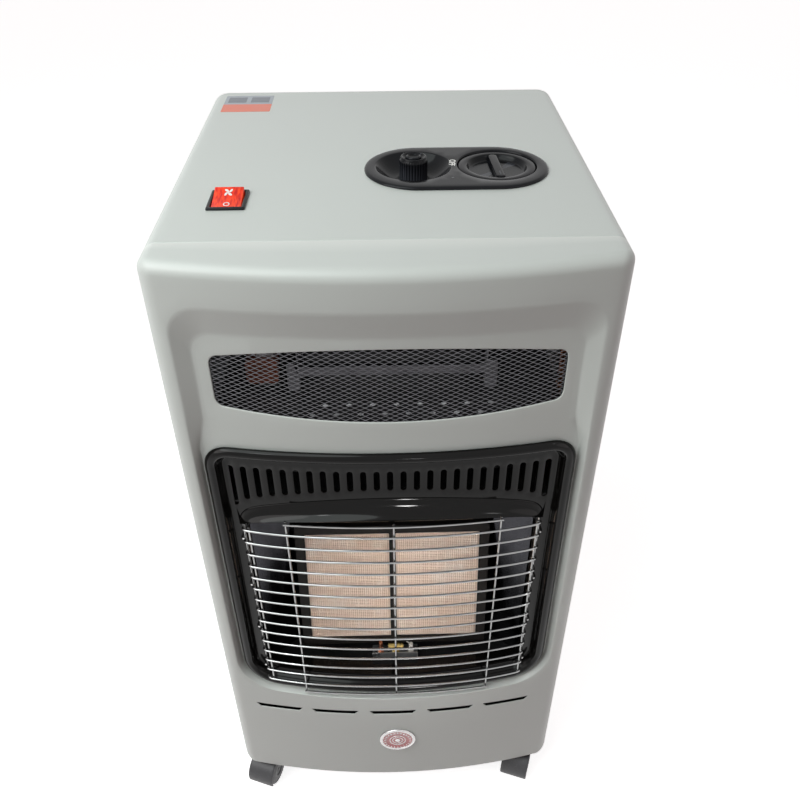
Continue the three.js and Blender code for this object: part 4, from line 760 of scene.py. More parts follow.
def makeGuard():
    g = wireGuard
    skin = Skin()
    top = g["bottom"] + (g["count"] - 1) * g["pitch"]
    for i in range(g["count"]):
        z = g["bottom"] + i * g["pitch"]
        middle = [(x, 2.6 * abs(x / g["end"]) ** 5, z) for x in np.linspace(-g["end"] + 7, g["end"] - 7, 45)]
        ends = []
        for side in (-1, 1):
            arc = [(side * (g["end"] - 5 + 5 * math.sin(a)), 2.2 + 5 * (1 - math.cos(a)), z - 0.8 * (1 - math.cos(a)))
                   for a in np.linspace(0.15, math.pi / 2, 6)]
            arc.append((side * g["end"], g["hook"] + 1, z - 2))
            arc.append((side * (g["end"] - 0.3), g["hook"] + 1.6, z - 4.5))
            ends.append(arc)
        tube(skin, bent(ends[0][::-1] + middle + ends[1]), g["wire"], 10)
    for z in g["shortWires"]:
        low, high = g["innerUprights"][0] - 2, g["innerUprights"][-1] + 2
        tube(skin, bent([(x, 0, z) for x in np.linspace(low, high, 36)]), g["wire"], 10)
    back = 2 * g["wire"] - 0.2
    for x in g["innerUprights"]:
        low, high = g["shortWires"][0] - 3, g["shortWires"][1] + 3
        tube(skin, bent([(x, back, z) for z in np.linspace(low, high, 20)]), g["wire"], 10)
    for x in g["outerUprights"]:
        tube(skin, bent([(x, back + 2.4, z) for z in np.linspace(g["bottom"] - 3, top + 3, 20)]), g["wire"], 10)
    for side in (-1, 1):
        path = [(side * (g["end"] - 0.6), g["hook"] + 2.6, z) for z in np.linspace(g["bottom"] - 6, top + 1, 20)]
        tube(skin, bent(path), g["wire"], 10)
        for z in g["legs"]:
            path = [(side * (g["end"] - 1), g["hook"] + 2, z - 3), (side * (g["legX"] - 1), g["hook"] + 2.6, z - 3),
                    (side * g["legX"], g["hook"] + 4.5, z - 3), (side * g["legX"], g["legBack"], z - 3)]
            tube(skin, bent(smoothCurve(path, 4)), g["wire"], 10)
    return makeObject("wireGuard", skin, chrome, stands=["wire_guard"], weld=0)


makeGuard()
print("wire guard")


# Expanded mesh behind the outlet

def makeOutletMesh():
    o = outlet
    skin = Skin()
    border = lensOutline(o["opening"], o["border"])
    px, pz = o["diamond"]
    half = o["strand"] / 2
    low, high = min(z for x, z in border), max(z for x, z in border)
    rows = int((high - low) / (pz / 2)) + 1
    columns = int(2 * (o["opening"]["halfWidth"] + o["border"]) / (px / 2)) + 1
    x0 = -columns * px / 4
    for row in range(rows):
        run = []
        runs = []
        for i in range(columns + 1):
            x = x0 + i * px / 2
            z = low + row * pz / 2 + (pz / 4 - half * 0.6) * (1 if (i + row) % 2 else -1)
            if insideLoop(np.array([(x, z)]), border)[0]:
                run.append((x, o["meshDepth"] + (0.25 if (i + row) % 2 else -0.1), z))
            else:
                runs.append(run)
                run = []
        runs.append(run)
        for run in runs:
            if len(run) < 3:
                continue
            path = []
            for a, b in zip(run, run[1:]):  # short flat bonds where the strands meet
                path += [np.array(a) + (np.array(b) - a) * t for t in (0.12, 0.88)]
            path = bent(path)
            rings = [[(x, y - half, z - half * 0.5), (x, y + half, z - half * 1.2),
                      (x, y + half, z + half * 0.5), (x, y - half, z + half * 1.2)] for x, y, z in path]
            skin.rings(rings, capStart=True, capEnd=True)
    rim = [[(u, o["meshDepth"] + d, v) for u, v in lensOutline(o["opening"], g)]
           for d, g in ((-0.25, 1.2), (-0.25, 4), (0.6, 4), (0.6, 1.2), (-0.25, 1.2))]
    start = len(skin.points)
    skin.rings(rim)
    skin.points[start:] = [tuple(p) for p in bent(skin.points[start:])]
    return makeObject("outletMesh", skin, meshSteel, stands=["outlet_mesh"], weld=0, sharp=25)


makeOutletMesh()
print("outlet mesh")


# Burner plaques: ceramic tiles with a fine field of holes

plaques = {
    "width": 95, "height": 153, "thickness": 13, "spacing": 6, "tilt": 9.6, "footY": 30, "footZ": 221,
    "drop": 1.5, "frameHalfWidth": 107, "frameEdge": 10, "frameGap": 0.35, "frameSheet": 1, "lap": 0.6,
    "pitch": 2.3, "hole": 0.62, "holeDepth": 2.4, "groove": 0.45, "block": 4, "edge": 2.5,
    "flare": 1.25, "flareDepth": 0.05, "neckDepth": 0.35,  # each hole opens a little at its mouth
}


def plaqueMaterial():
    material, tree, shader = newMaterial("plaqueCeramic")
    coords = objectCoords(tree)
    warm = mixColours(tree, spread(tree, noise(tree, coords, 16), 0, 1), srgb(228, 204, 184), srgb(240, 222, 206))
    pale = mixColours(tree, spread(tree, noise(tree, coords, 42, 4), 0, 0.5, 0.5, 0.72), warm, srgb(248, 242, 232))
    speckle = mixColours(tree, spread(tree, noise(tree, coords, 700, 2), 0, 0.5, 0.55, 0.7), pale, srgb(206, 168, 144))
    link(tree, speckle, shader.inputs["Base Color"])
    link(tree, spread(tree, noise(tree, coords, 90), 0.5, 0.75), shader.inputs["Roughness"])
    bump(tree, shader, noise(tree, coords, 1800, 3), 0.35, 0.06)
    return material


def tiltedPoints(skin):
    p = plaques
    turn = Matrix.Translation((0, p["footY"], p["footZ"])) @ Matrix.Rotation(-math.radians(p["tilt"]), 4, "X")
    turn = turn @ Matrix.Translation((0, 0, -p["drop"]))
    return [tuple(turn @ Vector(q)) for q in skin.points]


def makePlaqueFrame():
    p = plaques
    skin = Skin()
    x, edge, near, lap = p["frameHalfWidth"], p["frameEdge"] - p["drop"], p["spacing"] / 2, p["lap"]
    outer = roundedBox(-x, x, -edge, p["height"] + edge, 2, 4)
    windows = [roundedBox(a, b, lap, p["height"] - lap, 1.2, 4)
               for a, b in ((-near - p["width"] + lap, -near - lap), (near + lap, near + p["width"] - lap))]
    skin.fill(outer, windows, lambda u, v: (u, -p["frameGap"], v), 12)
    skin.rings([[(u, y, v) for u, v in outer] for y in (-p["frameGap"], 1.5, p["thickness"])])
    skin.points = tiltedPoints(skin)
    return makeObject("plaqueFrame", skin, brownSteel, stands=["plaque_frame"],
                      thick=-p["frameSheet"], sharp=40)


def makePlaque(side, material):
    p = plaques
    skin = Skin()
    columns = int((p["width"] - 2 * p["edge"]) / p["pitch"])
    rows = int((p["height"] - 2 * p["edge"]) / p["pitch"])
    u0 = (p["width"] - columns * p["pitch"]) / 2
    v0 = (p["height"] - rows * p["pitch"]) / 2
    start = side * p["spacing"] / 2 if side > 0 else -p["spacing"] / 2 - p["width"]
    turns = [math.pi / 4 * k for k in range(8)]
    h = p["pitch"] / 2
    corners = ((h, 0), (h, h), (0, h), (-h, h), (-h, 0), (-h, -h), (0, -h), (h, -h))

    def holeRing(cu, cv, radius, depth):
        return [(cu + radius * math.cos(a), depth, cv + radius * math.sin(a)) for a in turns]

    for i in range(columns):
        for j in range(rows):
            cu, cv = start + u0 + (i + 0.5) * p["pitch"], v0 + (j + 0.5) * p["pitch"]
            square = []
            for du, dv in corners:  # shallow grooves run between blocks of holes
                onColumn = abs(du) == h and (i + (du > 0)) % p["block"] == 0
                onRow = abs(dv) == h and (j + (dv > 0)) % p["block"] == 0
                square.append((cu + du, p["groove"] if onColumn or onRow else 0.0, cv + dv))
            mouth = holeRing(cu, cv, p["hole"] * p["flare"], p["flareDepth"])
            neck = holeRing(cu, cv, p["hole"], p["neckDepth"])
            deep = holeRing(cu, cv, p["hole"], p["holeDepth"])
            skin.rings([square, mouth, neck, deep], capEnd=True)
    a0, a1, b0, b1 = start, start + p["width"], 0, p["height"]
    c0, c1, d0, d1 = start + u0, start + u0 + columns * p["pitch"], v0, v0 + rows * p["pitch"]
    outer = roundedBox(a0, a1, b0, b1, 0.8, 3)
    inner = roundedBox(c0, c1, d0, d1, 0.01, 3)
    t = p["thickness"]
    brow = roundedBox(a0 + 1, a1 - 1, b0 + 1, b1 - 1, 0.8, 3)
    skin.rings([[(u, p["groove"], v) for u, v in inner], [(u, 0.2, v) for u, v in brow],
                [(u, 1.2, v) for u, v in outer], [(u, t, v) for u, v in outer]], capEnd=True)
    skin.points = tiltedPoints(skin)
    name, node = ("plaqueLeft", "plaque_left") if side < 0 else ("plaqueRight", "plaque_right")
    return makeObject(name, skin, material, stands=[node], sharp=50, weld=0.01)


plaqueCeramic = plaqueMaterial()
for side in (-1, 1):
    makePlaque(side, plaqueCeramic)
makePlaqueFrame()
print("plaques")


# Control bezel, dial and igniter

def makeBezel():
    c = controls
    height = cabinet["height"]
    top = height + c["rim"]
    skin = Skin()
    edge = [(0, height + 0.35), (0.05, height + 1.2), (0.5, height + 2.1), (1.5, height + 2.7), (3, top)]

    def stadium(inset, z):
        return [(x, y, z) for x, y in obround(c["bezelX"], c["bezelY"], c["bezelLength"] - 2 * inset,
                                              c["bezelWidth"] - 2 * inset, 32)]

    rim = [stadium(5.3, c["floor"]), stadium(5.3, height + 0.35)] + [stadium(*step) for step in edge]
    skin.rings(rim)
    well = c["dialRadius"] + 0.9
    dialRings = [(well + 1.2, top), (well + 0.6, top - 0.2), (well, top - 0.9), (well, c["dish"]),
                 (8.5, c["dish"]), (8.5, c["floor"])]
    dishRings = [(c["dishRadius"] + 1.6, top), (c["dishRadius"] + 0.6, top - 0.25)]
    for share in np.linspace(1, 0.42, 12):
        dishRings.append((c["dishRadius"] * share, c["dish"] + (top - 0.9 - c["dish"]) * ((share - 0.4) / 0.6) ** 2.1))
    dishRings += [(14.6, c["dish"]), (4, c["dish"]), (4, c["floor"])]
    for x, rings in ((c["dialX"], dialRings), (c["igniterX"], dishRings)):
        skin.rings([[(u, v, z) for u, v in circle(x, c["dialY"], r, 64)] for r, z in rings])
    for z, inset, r0, r1 in ((top, 3, well + 1.2, c["dishRadius"] + 1.6), (c["floor"], 5.3, 8.5, 4)):
        outer = obround(c["bezelX"], c["bezelY"], c["bezelLength"] - 2 * inset, c["bezelWidth"] - 2 * inset, 32)
        holes = [circle(c["dialX"], c["dialY"], r0, 64), circle(c["igniterX"], c["dialY"], r1, 64)]
        skin.fill(outer, holes, lambda u, v, z=z: (u, v, z), 9)
    return makeObject("controlBezel", skin, controlBlack, stands=["control_bezel"], sharp=45)


dialShape = {"bottom": 729.5, "top": 737, "pocket": 732, "barWidth": 9, "barLength": 57, "turn": 3}


def makeDial():
    c, d = controls, dialShape
    r = c["dialRadius"]
    skin = Skin()
    upright = lambda p: Vector((p.x + c["dialX"], p.y + c["dialY"], p.z))
    lathe(skin, [(0, d["bottom"]), (r, d["bottom"]), (r, d["top"] - 1.4), (r - 0.4, d["top"] - 0.5),
                 (r - 1.2, d["top"]), (r - 7.6, d["top"]), (r - 8.2, d["top"] - 0.3), (r - 8.8, d["top"] - 1.2),
                 (r - 10.4, d["pocket"] + 0.8), (r - 11.6, d["pocket"] + 0.1), (r - 13, d["pocket"]),
                 (0, d["pocket"])], upright, 96)
    turn = Matrix.Translation((c["dialX"], c["dialY"], 0)) @ Matrix.Rotation(math.radians(90 + d["turn"]), 4, "Z")
    bar = []
    flanks = ((-1.6, d["pocket"] - 0.5), (-1.2, d["pocket"] + 0.5), (-0.2, d["pocket"] + 1.8), (0, d["top"] - 1.4),
              (0.3, d["top"] - 0.1), (1.1, d["top"] + 0.5), (2.2, d["top"] + 0.6))
    for inset, z in flanks:
        ring = []
        for x, y in obround(0, 0, d["barLength"] - 2 * inset, d["barWidth"] - 2 * inset, 20):
            waist = 1 - 0.16 * math.cos(min(abs(x) / 26, 1) * math.pi / 2)
            ring.append(turn @ Vector((x, y * waist, z)))
        bar.append(ring)
    skin.rings(bar, capStart=True, capEnd=True)
    hub = [(4.4, d["bottom"] + 2), (4.4, d["bottom"] - 5), (7.5, d["bottom"] - 5), (7.5, d["bottom"] + 0.5)]
    lathe(skin, hub, upright, 32)
    makeObject("dialKnob", skin, knobBlack, body="gas_dial", stands=["gas_dial"],
               sharp=40, weld=0)
    mark = Skin()
    end = d["barLength"] / 2 - 4.5
    shape = roundedBox(-end, -end + 9, -0.7, 0.7, 0.5, 4)
    mark.rings([[turn @ Vector((x, y, z)) for x, y in shape] for z in (d["top"] + 0.3, d["top"] + 0.66)],
               capStart=True, capEnd=True)
    makeObject("dialPointer", mark, knobBlack, body="gas_dial", weld=0)


igniterShape = {"radius": 13.5, "top": 747.2, "flutes": 30, "fluteDepth": 0.55, "button": 7.2}


def makeIgniter():
    c, g = controls, igniterShape
    place = lambda p: Vector((p.x + c["igniterX"], p.y + c["dialY"], p.z))
    skin = Skin()
    count = g["flutes"] * 6

    def fluted(radius, depth, z):
        ring = []
        for i in range(count):
            a = 2 * math.pi * i / count
            wave = abs(math.sin(a * g["flutes"] / 2)) ** 0.6
            r = radius - depth * (1 - wave)
            ring.append(place(Vector((r * math.cos(a), r * math.sin(a), z))))
        return ring

    r, top = g["radius"], g["top"]
    rings = [fluted(3.6, 0, c["dish"] + 0.3), fluted(r, g["fluteDepth"], c["dish"] + 0.3),
             fluted(r, g["fluteDepth"], top - 4.2), fluted(r - 0.2, g["fluteDepth"], top - 3.2),
             fluted(r - 0.8, 0.1, top - 2.3), fluted(r - 1.1, 0, top - 1.9), fluted(r - 1.2, 0, top - 1.0),
             fluted(r - 1.5, 0, top - 0.3), fluted(r - 2.2, 0, top), fluted(r - 3, 0, top - 0.2),
             fluted(r - 4, 0, top - 1.2), fluted(g["button"] + 0.6, 0, top - 2),
             fluted(g["button"] + 0.6, 0, c["dish"] + 4.3),
             fluted(3.6, 0, c["dish"] + 4.3), fluted(3.6, 0, c["dish"] + 0.3)]
    skin.rings(rings)
    makeObject("igniterCollar", skin, knobBlack, stands=["igniter_collar"], sharp=50,
               weld=0.002)
    button = Skin()
    b = g["button"]
    lathe(button, [(0, top - 35), (3, top - 35), (3, top - 9), (b, top - 9), (b, top - 0.9), (b - 0.3, top + 0.2),
                   (b - 1, top + 0.6), (b - 1.8, top + 0.3), (b - 2.4, top - 0.6), (b - 4, top - 1.3), (0, top - 1.5)],
          place, 64)
    makeObject("igniterPush", button, knobBlack, body="igniter_button",
               stands=["igniter_button"], sharp=45)


makeBezel()
makeDial()
makeIgniter()
print("top controls")


# Rocker switch: black frame, red paddle with a painted glow, with a fan sign and a ring

rockerShape = {"axisZ": 733.5, "tilt": 10.5, "reach": 16.3, "half": 13, "end": 5.4, "dip": 0.9, "skirt": -1.5,
               "belly": -6.5, "fanAt": 8.6}


def rockerMaterial():
    material, tree, shader = newMaterial("redPlasticPaintedGlow")
    coords = objectCoords(tree, (1, 0.22, 0.22))
    streak = noise(tree, coords, 420, 2, 0.4)
    soft = noise(tree, objectCoords(tree), 160, 2)
    base = mixColours(tree, spread(tree, streak, 0, 1, 0.35, 0.65), srgb(190, 12, 6), srgb(255, 72, 22))
    tint = mixColours(tree, spread(tree, soft, 0, 0.5, 0.4, 0.7), base, srgb(222, 26, 12))
    link(tree, tint, shader.inputs["Base Color"])
    # The paddle gives off a faint glow in its own colour: a painted glow that brightens it beyond what the lamps give.
    link(tree, tint, shader.inputs["Emission Color"])
    shader.inputs["Emission Strength"].default_value = 0.2
    shader.inputs["Roughness"].default_value = 0.22
    shader.inputs["Specular IOR Level"].default_value = 0.2
    shader.inputs["Coat Weight"].default_value = 0.1
    shader.inputs["Coat Roughness"].default_value = 0.05
    shader.inputs["Subsurface Weight"].default_value = 0.15
    shader.inputs["Subsurface Scale"].default_value = 0.003
    bump(tree, shader, streak, 0.15, 0.1)
    return material


def makeSwitch():
    c, r = controls, rockerShape
    height = cabinet["height"]
    x, y, w, l = c["switchX"], c["switchY"], c["switchWidth"] / 2, c["switchLength"] / 2
    box = lambda inset, z, radius: [(u, v, z) for u, v in roundedBox(x - w + inset, x + w - inset, y - l + inset,
                                                                    y + l - inset, radius, 4)]
    top = height + c["switchHeight"]
    skin = Skin()
    skin.rings([box(2, height - 26, 1), box(2, height + 0.3, 1), box(0, height + 0.3, 1.5),
                box(0, top - 1.1, 1.5), box(0.35, top - 0.35, 1.5), box(1.1, top, 1.4), box(2.6, top, 0.9),
                box(3.0, top - 0.3, 0.7), box(3.5, top - 1.4, 0.6), box(3.5, height - 12, 0.6)],
               capStart=True, capEnd=True)
    makeObject("switchFrame", skin, controlBlack, stands=["switch_body"], sharp=50)
    turn = Matrix.Translation((x, y, r["axisZ"])) @ Matrix.Rotation(math.radians(r["tilt"]), 4, "X")
    outline = [(-r["reach"], r["skirt"]), (0, r["belly"]), (r["reach"], r["skirt"])]
    crown = lambda v: r["end"] - r["dip"] * math.cos(v / r["reach"] * math.pi / 2)
    topLine = [(v, crown(v)) for v in np.linspace(r["reach"], -r["reach"], 21)]
    profile = outline + topLine
    paddle = Skin()
    rings = []
    for u, shrink in ((-r["half"], 0.5), (-r["half"] + 0.12, 0.2), (-r["half"] + 0.5, 0), (r["half"] - 0.5, 0),
                      (r["half"] - 0.12, 0.2), (r["half"], 0.5)):
        rings.append([turn @ Vector((u, v - math.copysign(shrink, v) if abs(v) > 1 else v,
                                     z - shrink * (1 if z > 0 else -1))) for v, z in profile])
    paddle.rings(rings, capStart=True, capEnd=True)
    makeObject("rockerPaddle", paddle, rockerMaterial(), body="rocker", stands=["rocker"],
               sharp=35)
    surface = lambda u, v, lift: turn @ Vector((u, v, crown(v) + lift))
    sign = Skin()
    for blade in range(4):
        a = math.radians(blade * 90 + 20)
        points = []
        for t in np.linspace(0, 1, 15):
            b = t * 2 * math.pi
            q, s = 2.2 + 1.6 * math.cos(b), 1.15 * math.sin(b) + 0.75 * (1 + math.cos(b))
            points.append(((q * math.cos(a) - s * math.sin(a)) * 1.12,
                           (q * math.sin(a) + s * math.cos(a)) * 1.5 + r["fanAt"]))
        points = points[:-1]
        sign.rings([[surface(u, v, lift) for u, v in points] for lift in (-0.1, 0.12)], capEnd=True)
    hub = circle(0, r["fanAt"], 0.8, 16)
    sign.rings([[surface(u, v, lift) for u, v in hub] for lift in (-0.1, 0.14)], capEnd=True)
    outer, inner = ([(2.9 * k * math.cos(a), 3.1 * k * math.sin(a) - 9.6) for a in np.linspace(0, 2 * math.pi, 33)[:-1]]
                    for k in (1, 0.68))
    sign.rings([[surface(u, v, lift) for u, v in loop] for loop, lift in
                ((outer, -0.1), (outer, 0.12), (inner, 0.12), (inner, -0.1))])
    makeObject("rockerSigns", sign, markWhite, body="rocker", weld=0)


makeSwitch()
print("switch")


# Small printed and stuck-on things on the top

topMarks = {
    "word": {"text": "OFF", "x": 64.2, "y": 189, "size": 8.6, "turn": -97},
    "dot": {"x": 62.5, "y": 152, "radius": 1.2},
    "sticker": {"x0": -183, "x1": -128, "y0": 357, "split": 383, "y1": 414, "thick": 0.15, "radius": 1.2},
}


def makeWord():
    w = topMarks["word"]
    curve = bpy.data.curves.new("dialWord", "FONT")
    curve.body = w["text"]
    curve.size = w["size"] * mm
    curve.extrude = 0.04 * mm
    curve.offset = 0.22 * mm
    curve.align_x, curve.align_y = "CENTER", "CENTER"
    text = bpy.data.objects.new("dialWordText", curve)
    bpy.context.scene.collection.objects.link(text)
    bpy.context.view_layer.update()
    shape = bpy.data.meshes.new_from_object(text.evaluated_get(bpy.context.evaluated_depsgraph_get()))
    bpy.data.objects.remove(text)
    x, y, z = toFrame([(w["x"], w["y"], cabinet["height"] + controls["rim"] + 0.05)])[0]
    shape.transform(Matrix.Translation((x, y, z)) @ Matrix.Rotation(math.radians(w["turn"]), 4, "Z"))
    shape.materials.clear()
    shape.materials.append(markWhite)
    obj = bpy.data.objects.new("dialWord", shape)
    bpy.context.scene.collection.objects.link(obj)
    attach(obj, "cabinet")


def makeSticker():
    s = topMarks["sticker"]
    height = cabinet["height"] + 0.02
    orange = finish("stickerOrange", srgb(226, 98, 58), 0.35, tone=0.04, toneScale=60, grain=900, coat=0.3)
    grey = finish("stickerGrey", srgb(150, 158, 168), 0.35, tone=0.05, toneScale=60, grain=900, coat=0.3)
    dark = finish("stickerDark", srgb(84, 92, 104), 0.35, tone=0.08, toneScale=120, grain=900, coat=0.3)
    halves = (("stickerFront", s["y0"], s["split"], orange), ("stickerRear", s["split"], s["y1"], grey))
    for name, y0, y1, material in halves:
        skin = Skin()
        shape = roundedBox(s["x0"], s["x1"], y0, y1, s["radius"], 4)
        skin.rings([[(u, v, height + z) for u, v in shape] for z in (0, s["thick"])], capStart=True, capEnd=True)
        makeObject(name, skin, material, weld=0)
    panels = Skin()
    for u0, u1 in ((s["x0"] + 4, s["x0"] + 25), (s["x0"] + 30, s["x1"] - 4)):
        shape = roundedBox(u0, u1, s["split"] + 6, s["y1"] - 6, 0.8, 3)
        panels.rings([[(u, v, height + z) for u, v in shape] for z in (s["thick"], s["thick"] + 0.04)], capEnd=True)
    makeObject("stickerFields", panels, dark, weld=0)


makeWord()
makeSticker()
dot = Skin()
lathe(dot, [(0, 0), (topMarks["dot"]["radius"], 0), (topMarks["dot"]["radius"], 0.1), (0, 0.12)],
      lambda p: Vector((p.x + topMarks["dot"]["x"], p.y + topMarks["dot"]["y"],
                        p.z + cabinet["height"] + controls["rim"])), 24)
makeObject("dialDot", dot, dotGrey, weld=0)
print("marks")


# Badge: plain round disc with rings and a ray border

badgeShape = {"x": 2, "z": 83.4, "radius": 22.3, "rays": 24}


def makeBadge():
    b = badgeShape
    silver = finish("badgeSilver", srgb(206, 204, 204), 0.22, metallic=0.7, tone=0.08, toneScale=80, grain=900,
                    coat=0.6)
    red = finish("badgeRed", srgb(196, 92, 96), 0.25, tone=0.14, toneScale=70, grain=900, coat=0.7,
                 coatRoughness=0.05)
    out = lambda p: Vector((p.x + b["x"], -cabinet["bow"] - 0.4 - p.z, p.y + b["z"]))
    r = b["radius"]
    disc = Skin()
    lathe(disc, [(0, 0), (r, 0), (r, 0.9), (r - 0.5, 1.7), (r - 1.6, 2.1), (r - 3, 2.2), (r - 3.6, 1.8), (r - 3.9, 1.2),
                 (0, 1.2)], out, 72)
    makeObject("badgeRim", disc, silver, stands=["badge"], sharp=40, weld=0)
    field = Skin()
    lathe(field, [(0, 1.0), (r - 4.1, 1.0), (r - 4.1, 1.45), (r - 8.4, 1.6), (r - 8.8, 1.3), (r - 9.4, 1.3), (0, 1.4)],
          out, 72)
    makeObject("badgeField", field, red, sharp=40, weld=0)
    rays = Skin()
    for i in range(b["rays"]):
        a = 2 * math.pi * i / b["rays"]
        ray = []
        for u, v in roundedBox(r - 7.6, r - 5.2, -0.5, 0.5, 0.4, 3):
            ray.append((u * math.cos(a) - v * math.sin(a), u * math.sin(a) + v * math.cos(a)))
        rays.rings([[out(Vector((u, v, z))) for u, v in ray] for z in (1.4, 1.75)], capEnd=True)
    for size in (6.2, 9.6):
        ring = [(size - 0.45, 1.3), (size - 0.4, 1.72), (size + 0.4, 1.72), (size + 0.45, 1.3)]
        lathe(rays, ring, out, 48)
    lathe(rays, [(0, 1.3), (3.2, 1.3), (3.1, 1.8), (2, 2.2), (0, 2.4)], out, 32)
    makeObject("badgeRings", rays, silver, sharp=40, weld=0)


makeBadge()
print("badge")


# Twin-wheel casters

caster = {"trail": 15, "wheelRadius": 20, "wheelWidth": 13, "fork": 8, "clear": 0.3, "hoodGap": 1.2, "hoodWall": 1.8,
          "hoodFrom": 0.12, "hoodTo": 1.08, "boss": 9, "forkTop": 50.8}


def makeCaster(corner):
    k = caster
    low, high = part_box("caster_%s_stem" % corner)
    base = Vector(((low.x + high.x) / 2, (low.y + high.y) / 2, 0))
    rollAxis = next(j for j in frame["joints"] if j["name"] == corner + "_wheels_roll")["axis"]
    angle = math.atan2(rollAxis[1], rollAxis[0])
    turn = Matrix.Rotation(angle, 4, "Z")

    def put(skin):
        return [tuple(base + (turn @ Vector(p)) * mm) for p in skin.points]

    y, z, R = -k["trail"], k["wheelRadius"], k["wheelRadius"]
    hood = Skin()
    half = k["fork"] / 2 + k["wheelWidth"] + 0.6
    rows = []
    turns = np.linspace(k["hoodFrom"] * math.pi, k["hoodTo"] * math.pi, 28)
    inside, outside = R + k["hoodGap"], R + k["hoodGap"] + k["hoodWall"]
    section = [(-half, inside), (-half, outside - 1), (-half + 0.8, outside - 0.2), (-half + 3, outside),
               (0, outside), (half - 3, outside), (half - 0.8, outside - 0.2), (half, outside - 1),
               (half, inside), (half - 2, inside), (0, inside), (-half + 2, inside)]
    for a in turns:
        rows.append([(u, y + r * math.cos(a), z + r * math.sin(a)) for u, r in section])
    hood.rings(rows, capStart=True, capEnd=True)
    web = []
    for a in np.linspace(-0.85 * math.pi, 0.2 * math.pi, 14):
        web.append((y + (R - 7) * math.cos(a), z + (R - 7) * math.sin(a)))
    web += [(8, k["forkTop"] - 0.4), (-8, k["forkTop"] - 0.4), (y - R + 4, z + 8)]
    hood.rings([[(u, a, b) for a, b in web] for u in (-k["fork"] / 2, k["fork"] / 2)], capStart=True, capEnd=True)
    boss = [(0, k["forkTop"] - 13), (k["boss"] - 1, k["forkTop"] - 13), (k["boss"], k["forkTop"] - 8),
            (k["boss"], k["forkTop"] - 1), (k["boss"] - 0.8, k["forkTop"] - 0.2), (0, k["forkTop"] - 0.2)]
    lathe(hood, boss, lambda p: p, 32)
    makeObject("casterHood_" + corner, hood, casterNylon, body=corner + "_swivel",
               stands=["caster_%s_fork" % corner], sharp=45, weld=0, points=put(hood))
    for side, tag in ((-1, "left"), (1, "right")):
        wheel = Skin()
        inner = k["fork"] / 2 + k["clear"]
        outer = inner + k["wheelWidth"]
        profile = [(0, inner), (R - 1, inner), (R - 0.3, inner + 0.4), (R, inner + 1.4), (R, outer - 3),
                   (R - 0.5, outer - 1.4), (R - 1.6, outer - 0.5), (R - 3, outer - 0.3), (R - 3.6, outer - 0.8),
                   (R - 4.4, outer - 0.9), (R - 6, outer - 0.2), (8.5, outer), (7.6, outer - 0.5), (7, outer - 1.2),
                   (3.4, outer - 1.0), (3, outer - 0.4), (0, outer - 0.2)]
        across = lambda p: Vector((side * p.z, y + p.x, z + p.y))
        lathe(wheel, profile, across, 56)
        makeObject("casterWheel_%s_%s" % (corner, tag), wheel, casterNylon, body=corner + "_wheels",
                   stands=["caster_%s_wheel_%s" % (corner, tag)], sharp=40, weld=0,
                   points=put(wheel))


for corner in ("front_left", "front_right", "rear_left", "rear_right"):
    makeCaster(corner)
print("casters")


# The remaining solids keep their shape and get their finish, with softened edges

windingTape = finish("windingTape", srgb(150, 84, 62), 0.45, tone=0.22, toneScale=60, grain=500, grainBump=0.3,
                     grainDepth=0.15, roughSpread=0.2, coat=0.3, stretch=(0.3, 1, 1))
keptNodes = {
    paint: ["side_panel_left", "side_panel_right", "rear_cover"],
    darkSteel: ["base_pan", "firebox", "duct_floor", "blower_housing", "blower_impeller"],
    galvanised: ["bulkhead", "burner_box"],
    greyBracket: ["blower_frame"],
    # the reflectors get the darkened steel: painted shade
    reflectorSteelPaintedDark: ["reflector_left", "reflector_right"],
    brass: ["burner_injector", "pilot_burner", "valve_plunger", "gas_valve", "hose_inlet"],
    copper: ["burner_pipe", "pilot_pipe", "thermocouple"],
    porcelain: ["spark_electrode"],
    zinc: ["motor_core", "pilot_bracket", "valve_spindle", "caster_front_left_stem", "caster_front_right_stem",
           "caster_rear_left_stem", "caster_rear_right_stem"],
    windingTape: ["motor_coil"],
    controlBlack: ["igniter_body", "cable_gland"],
}


softEdge = {"width": 0.25, "segments": 2, "fromAngle": 40}


def dressSolids():
    for material, names in keptNodes.items():
        for name in names:
            obj = frame["nodes"][name]
            obj.data.materials.clear()
            obj.data.materials.append(material)
            obj.modifiers.new("shade", "NODES").node_group = shadeByAngle
            edge = obj.modifiers.new("edges", "BEVEL")
            edge.width = softEdge["width"] * mm
            edge.segments = softEdge["segments"]
            edge.limit_method = "ANGLE"
            edge.angle_limit = math.radians(softEdge["fromAngle"])


dressSolids()
print("kept solids dressed")


# Stage, light and camera

studio = {
    "floorSize": 14, "floorColour": srgb(240, 240, 240), "floorGlow": 0.8, "bounceColour": srgb(122, 102, 100),
    "fill": 0.2, "fillColour": (1.0, 0.88, 0.88),
    "lamps": {  # spread narrows a lamp's beam, in degrees
        "overhead": {"place": (-0.75, -0.6, 1.9), "aim": (0, 0, 0.7), "size": 1.4, "power": 15,
                     "colour": (0.91, 1.0, 0.98), "spread": 180},
        "key": {"place": (-1.35, -0.8, 1.45), "aim": (0, -0.1, 0.35), "size": 1.4, "power": 11.5,
                "colour": (1.0, 0.955, 0.945), "spread": 180},
        "right": {"place": (1.5, -0.9, 1.0), "aim": (0, -0.1, 0.35), "size": 1.2, "power": 2.2,
                  "colour": (1.0, 0.88, 0.88), "spread": 180},
        "burner": {"place": (0.12, -1.6, 0.85), "aim": (0, 0, 0.31), "size": 0.2, "power": 0.085,
                   "colour": (1.0, 0.99, 0.98), "spread": 12},
        "sparkLeft": {"place": (-0.75, -1.3, 1.9), "aim": (0, 0, 0.5), "size": 0.14, "power": 0.5,
                      "colour": (1.0, 1.0, 1.0), "spread": 180},
        "sparkRight": {"place": (0.95, -0.9, 1.7), "aim": (0, 0, 0.5), "size": 0.14, "power": 0.4,
                       "colour": (1.0, 1.0, 1.0), "spread": 180},
    },
}


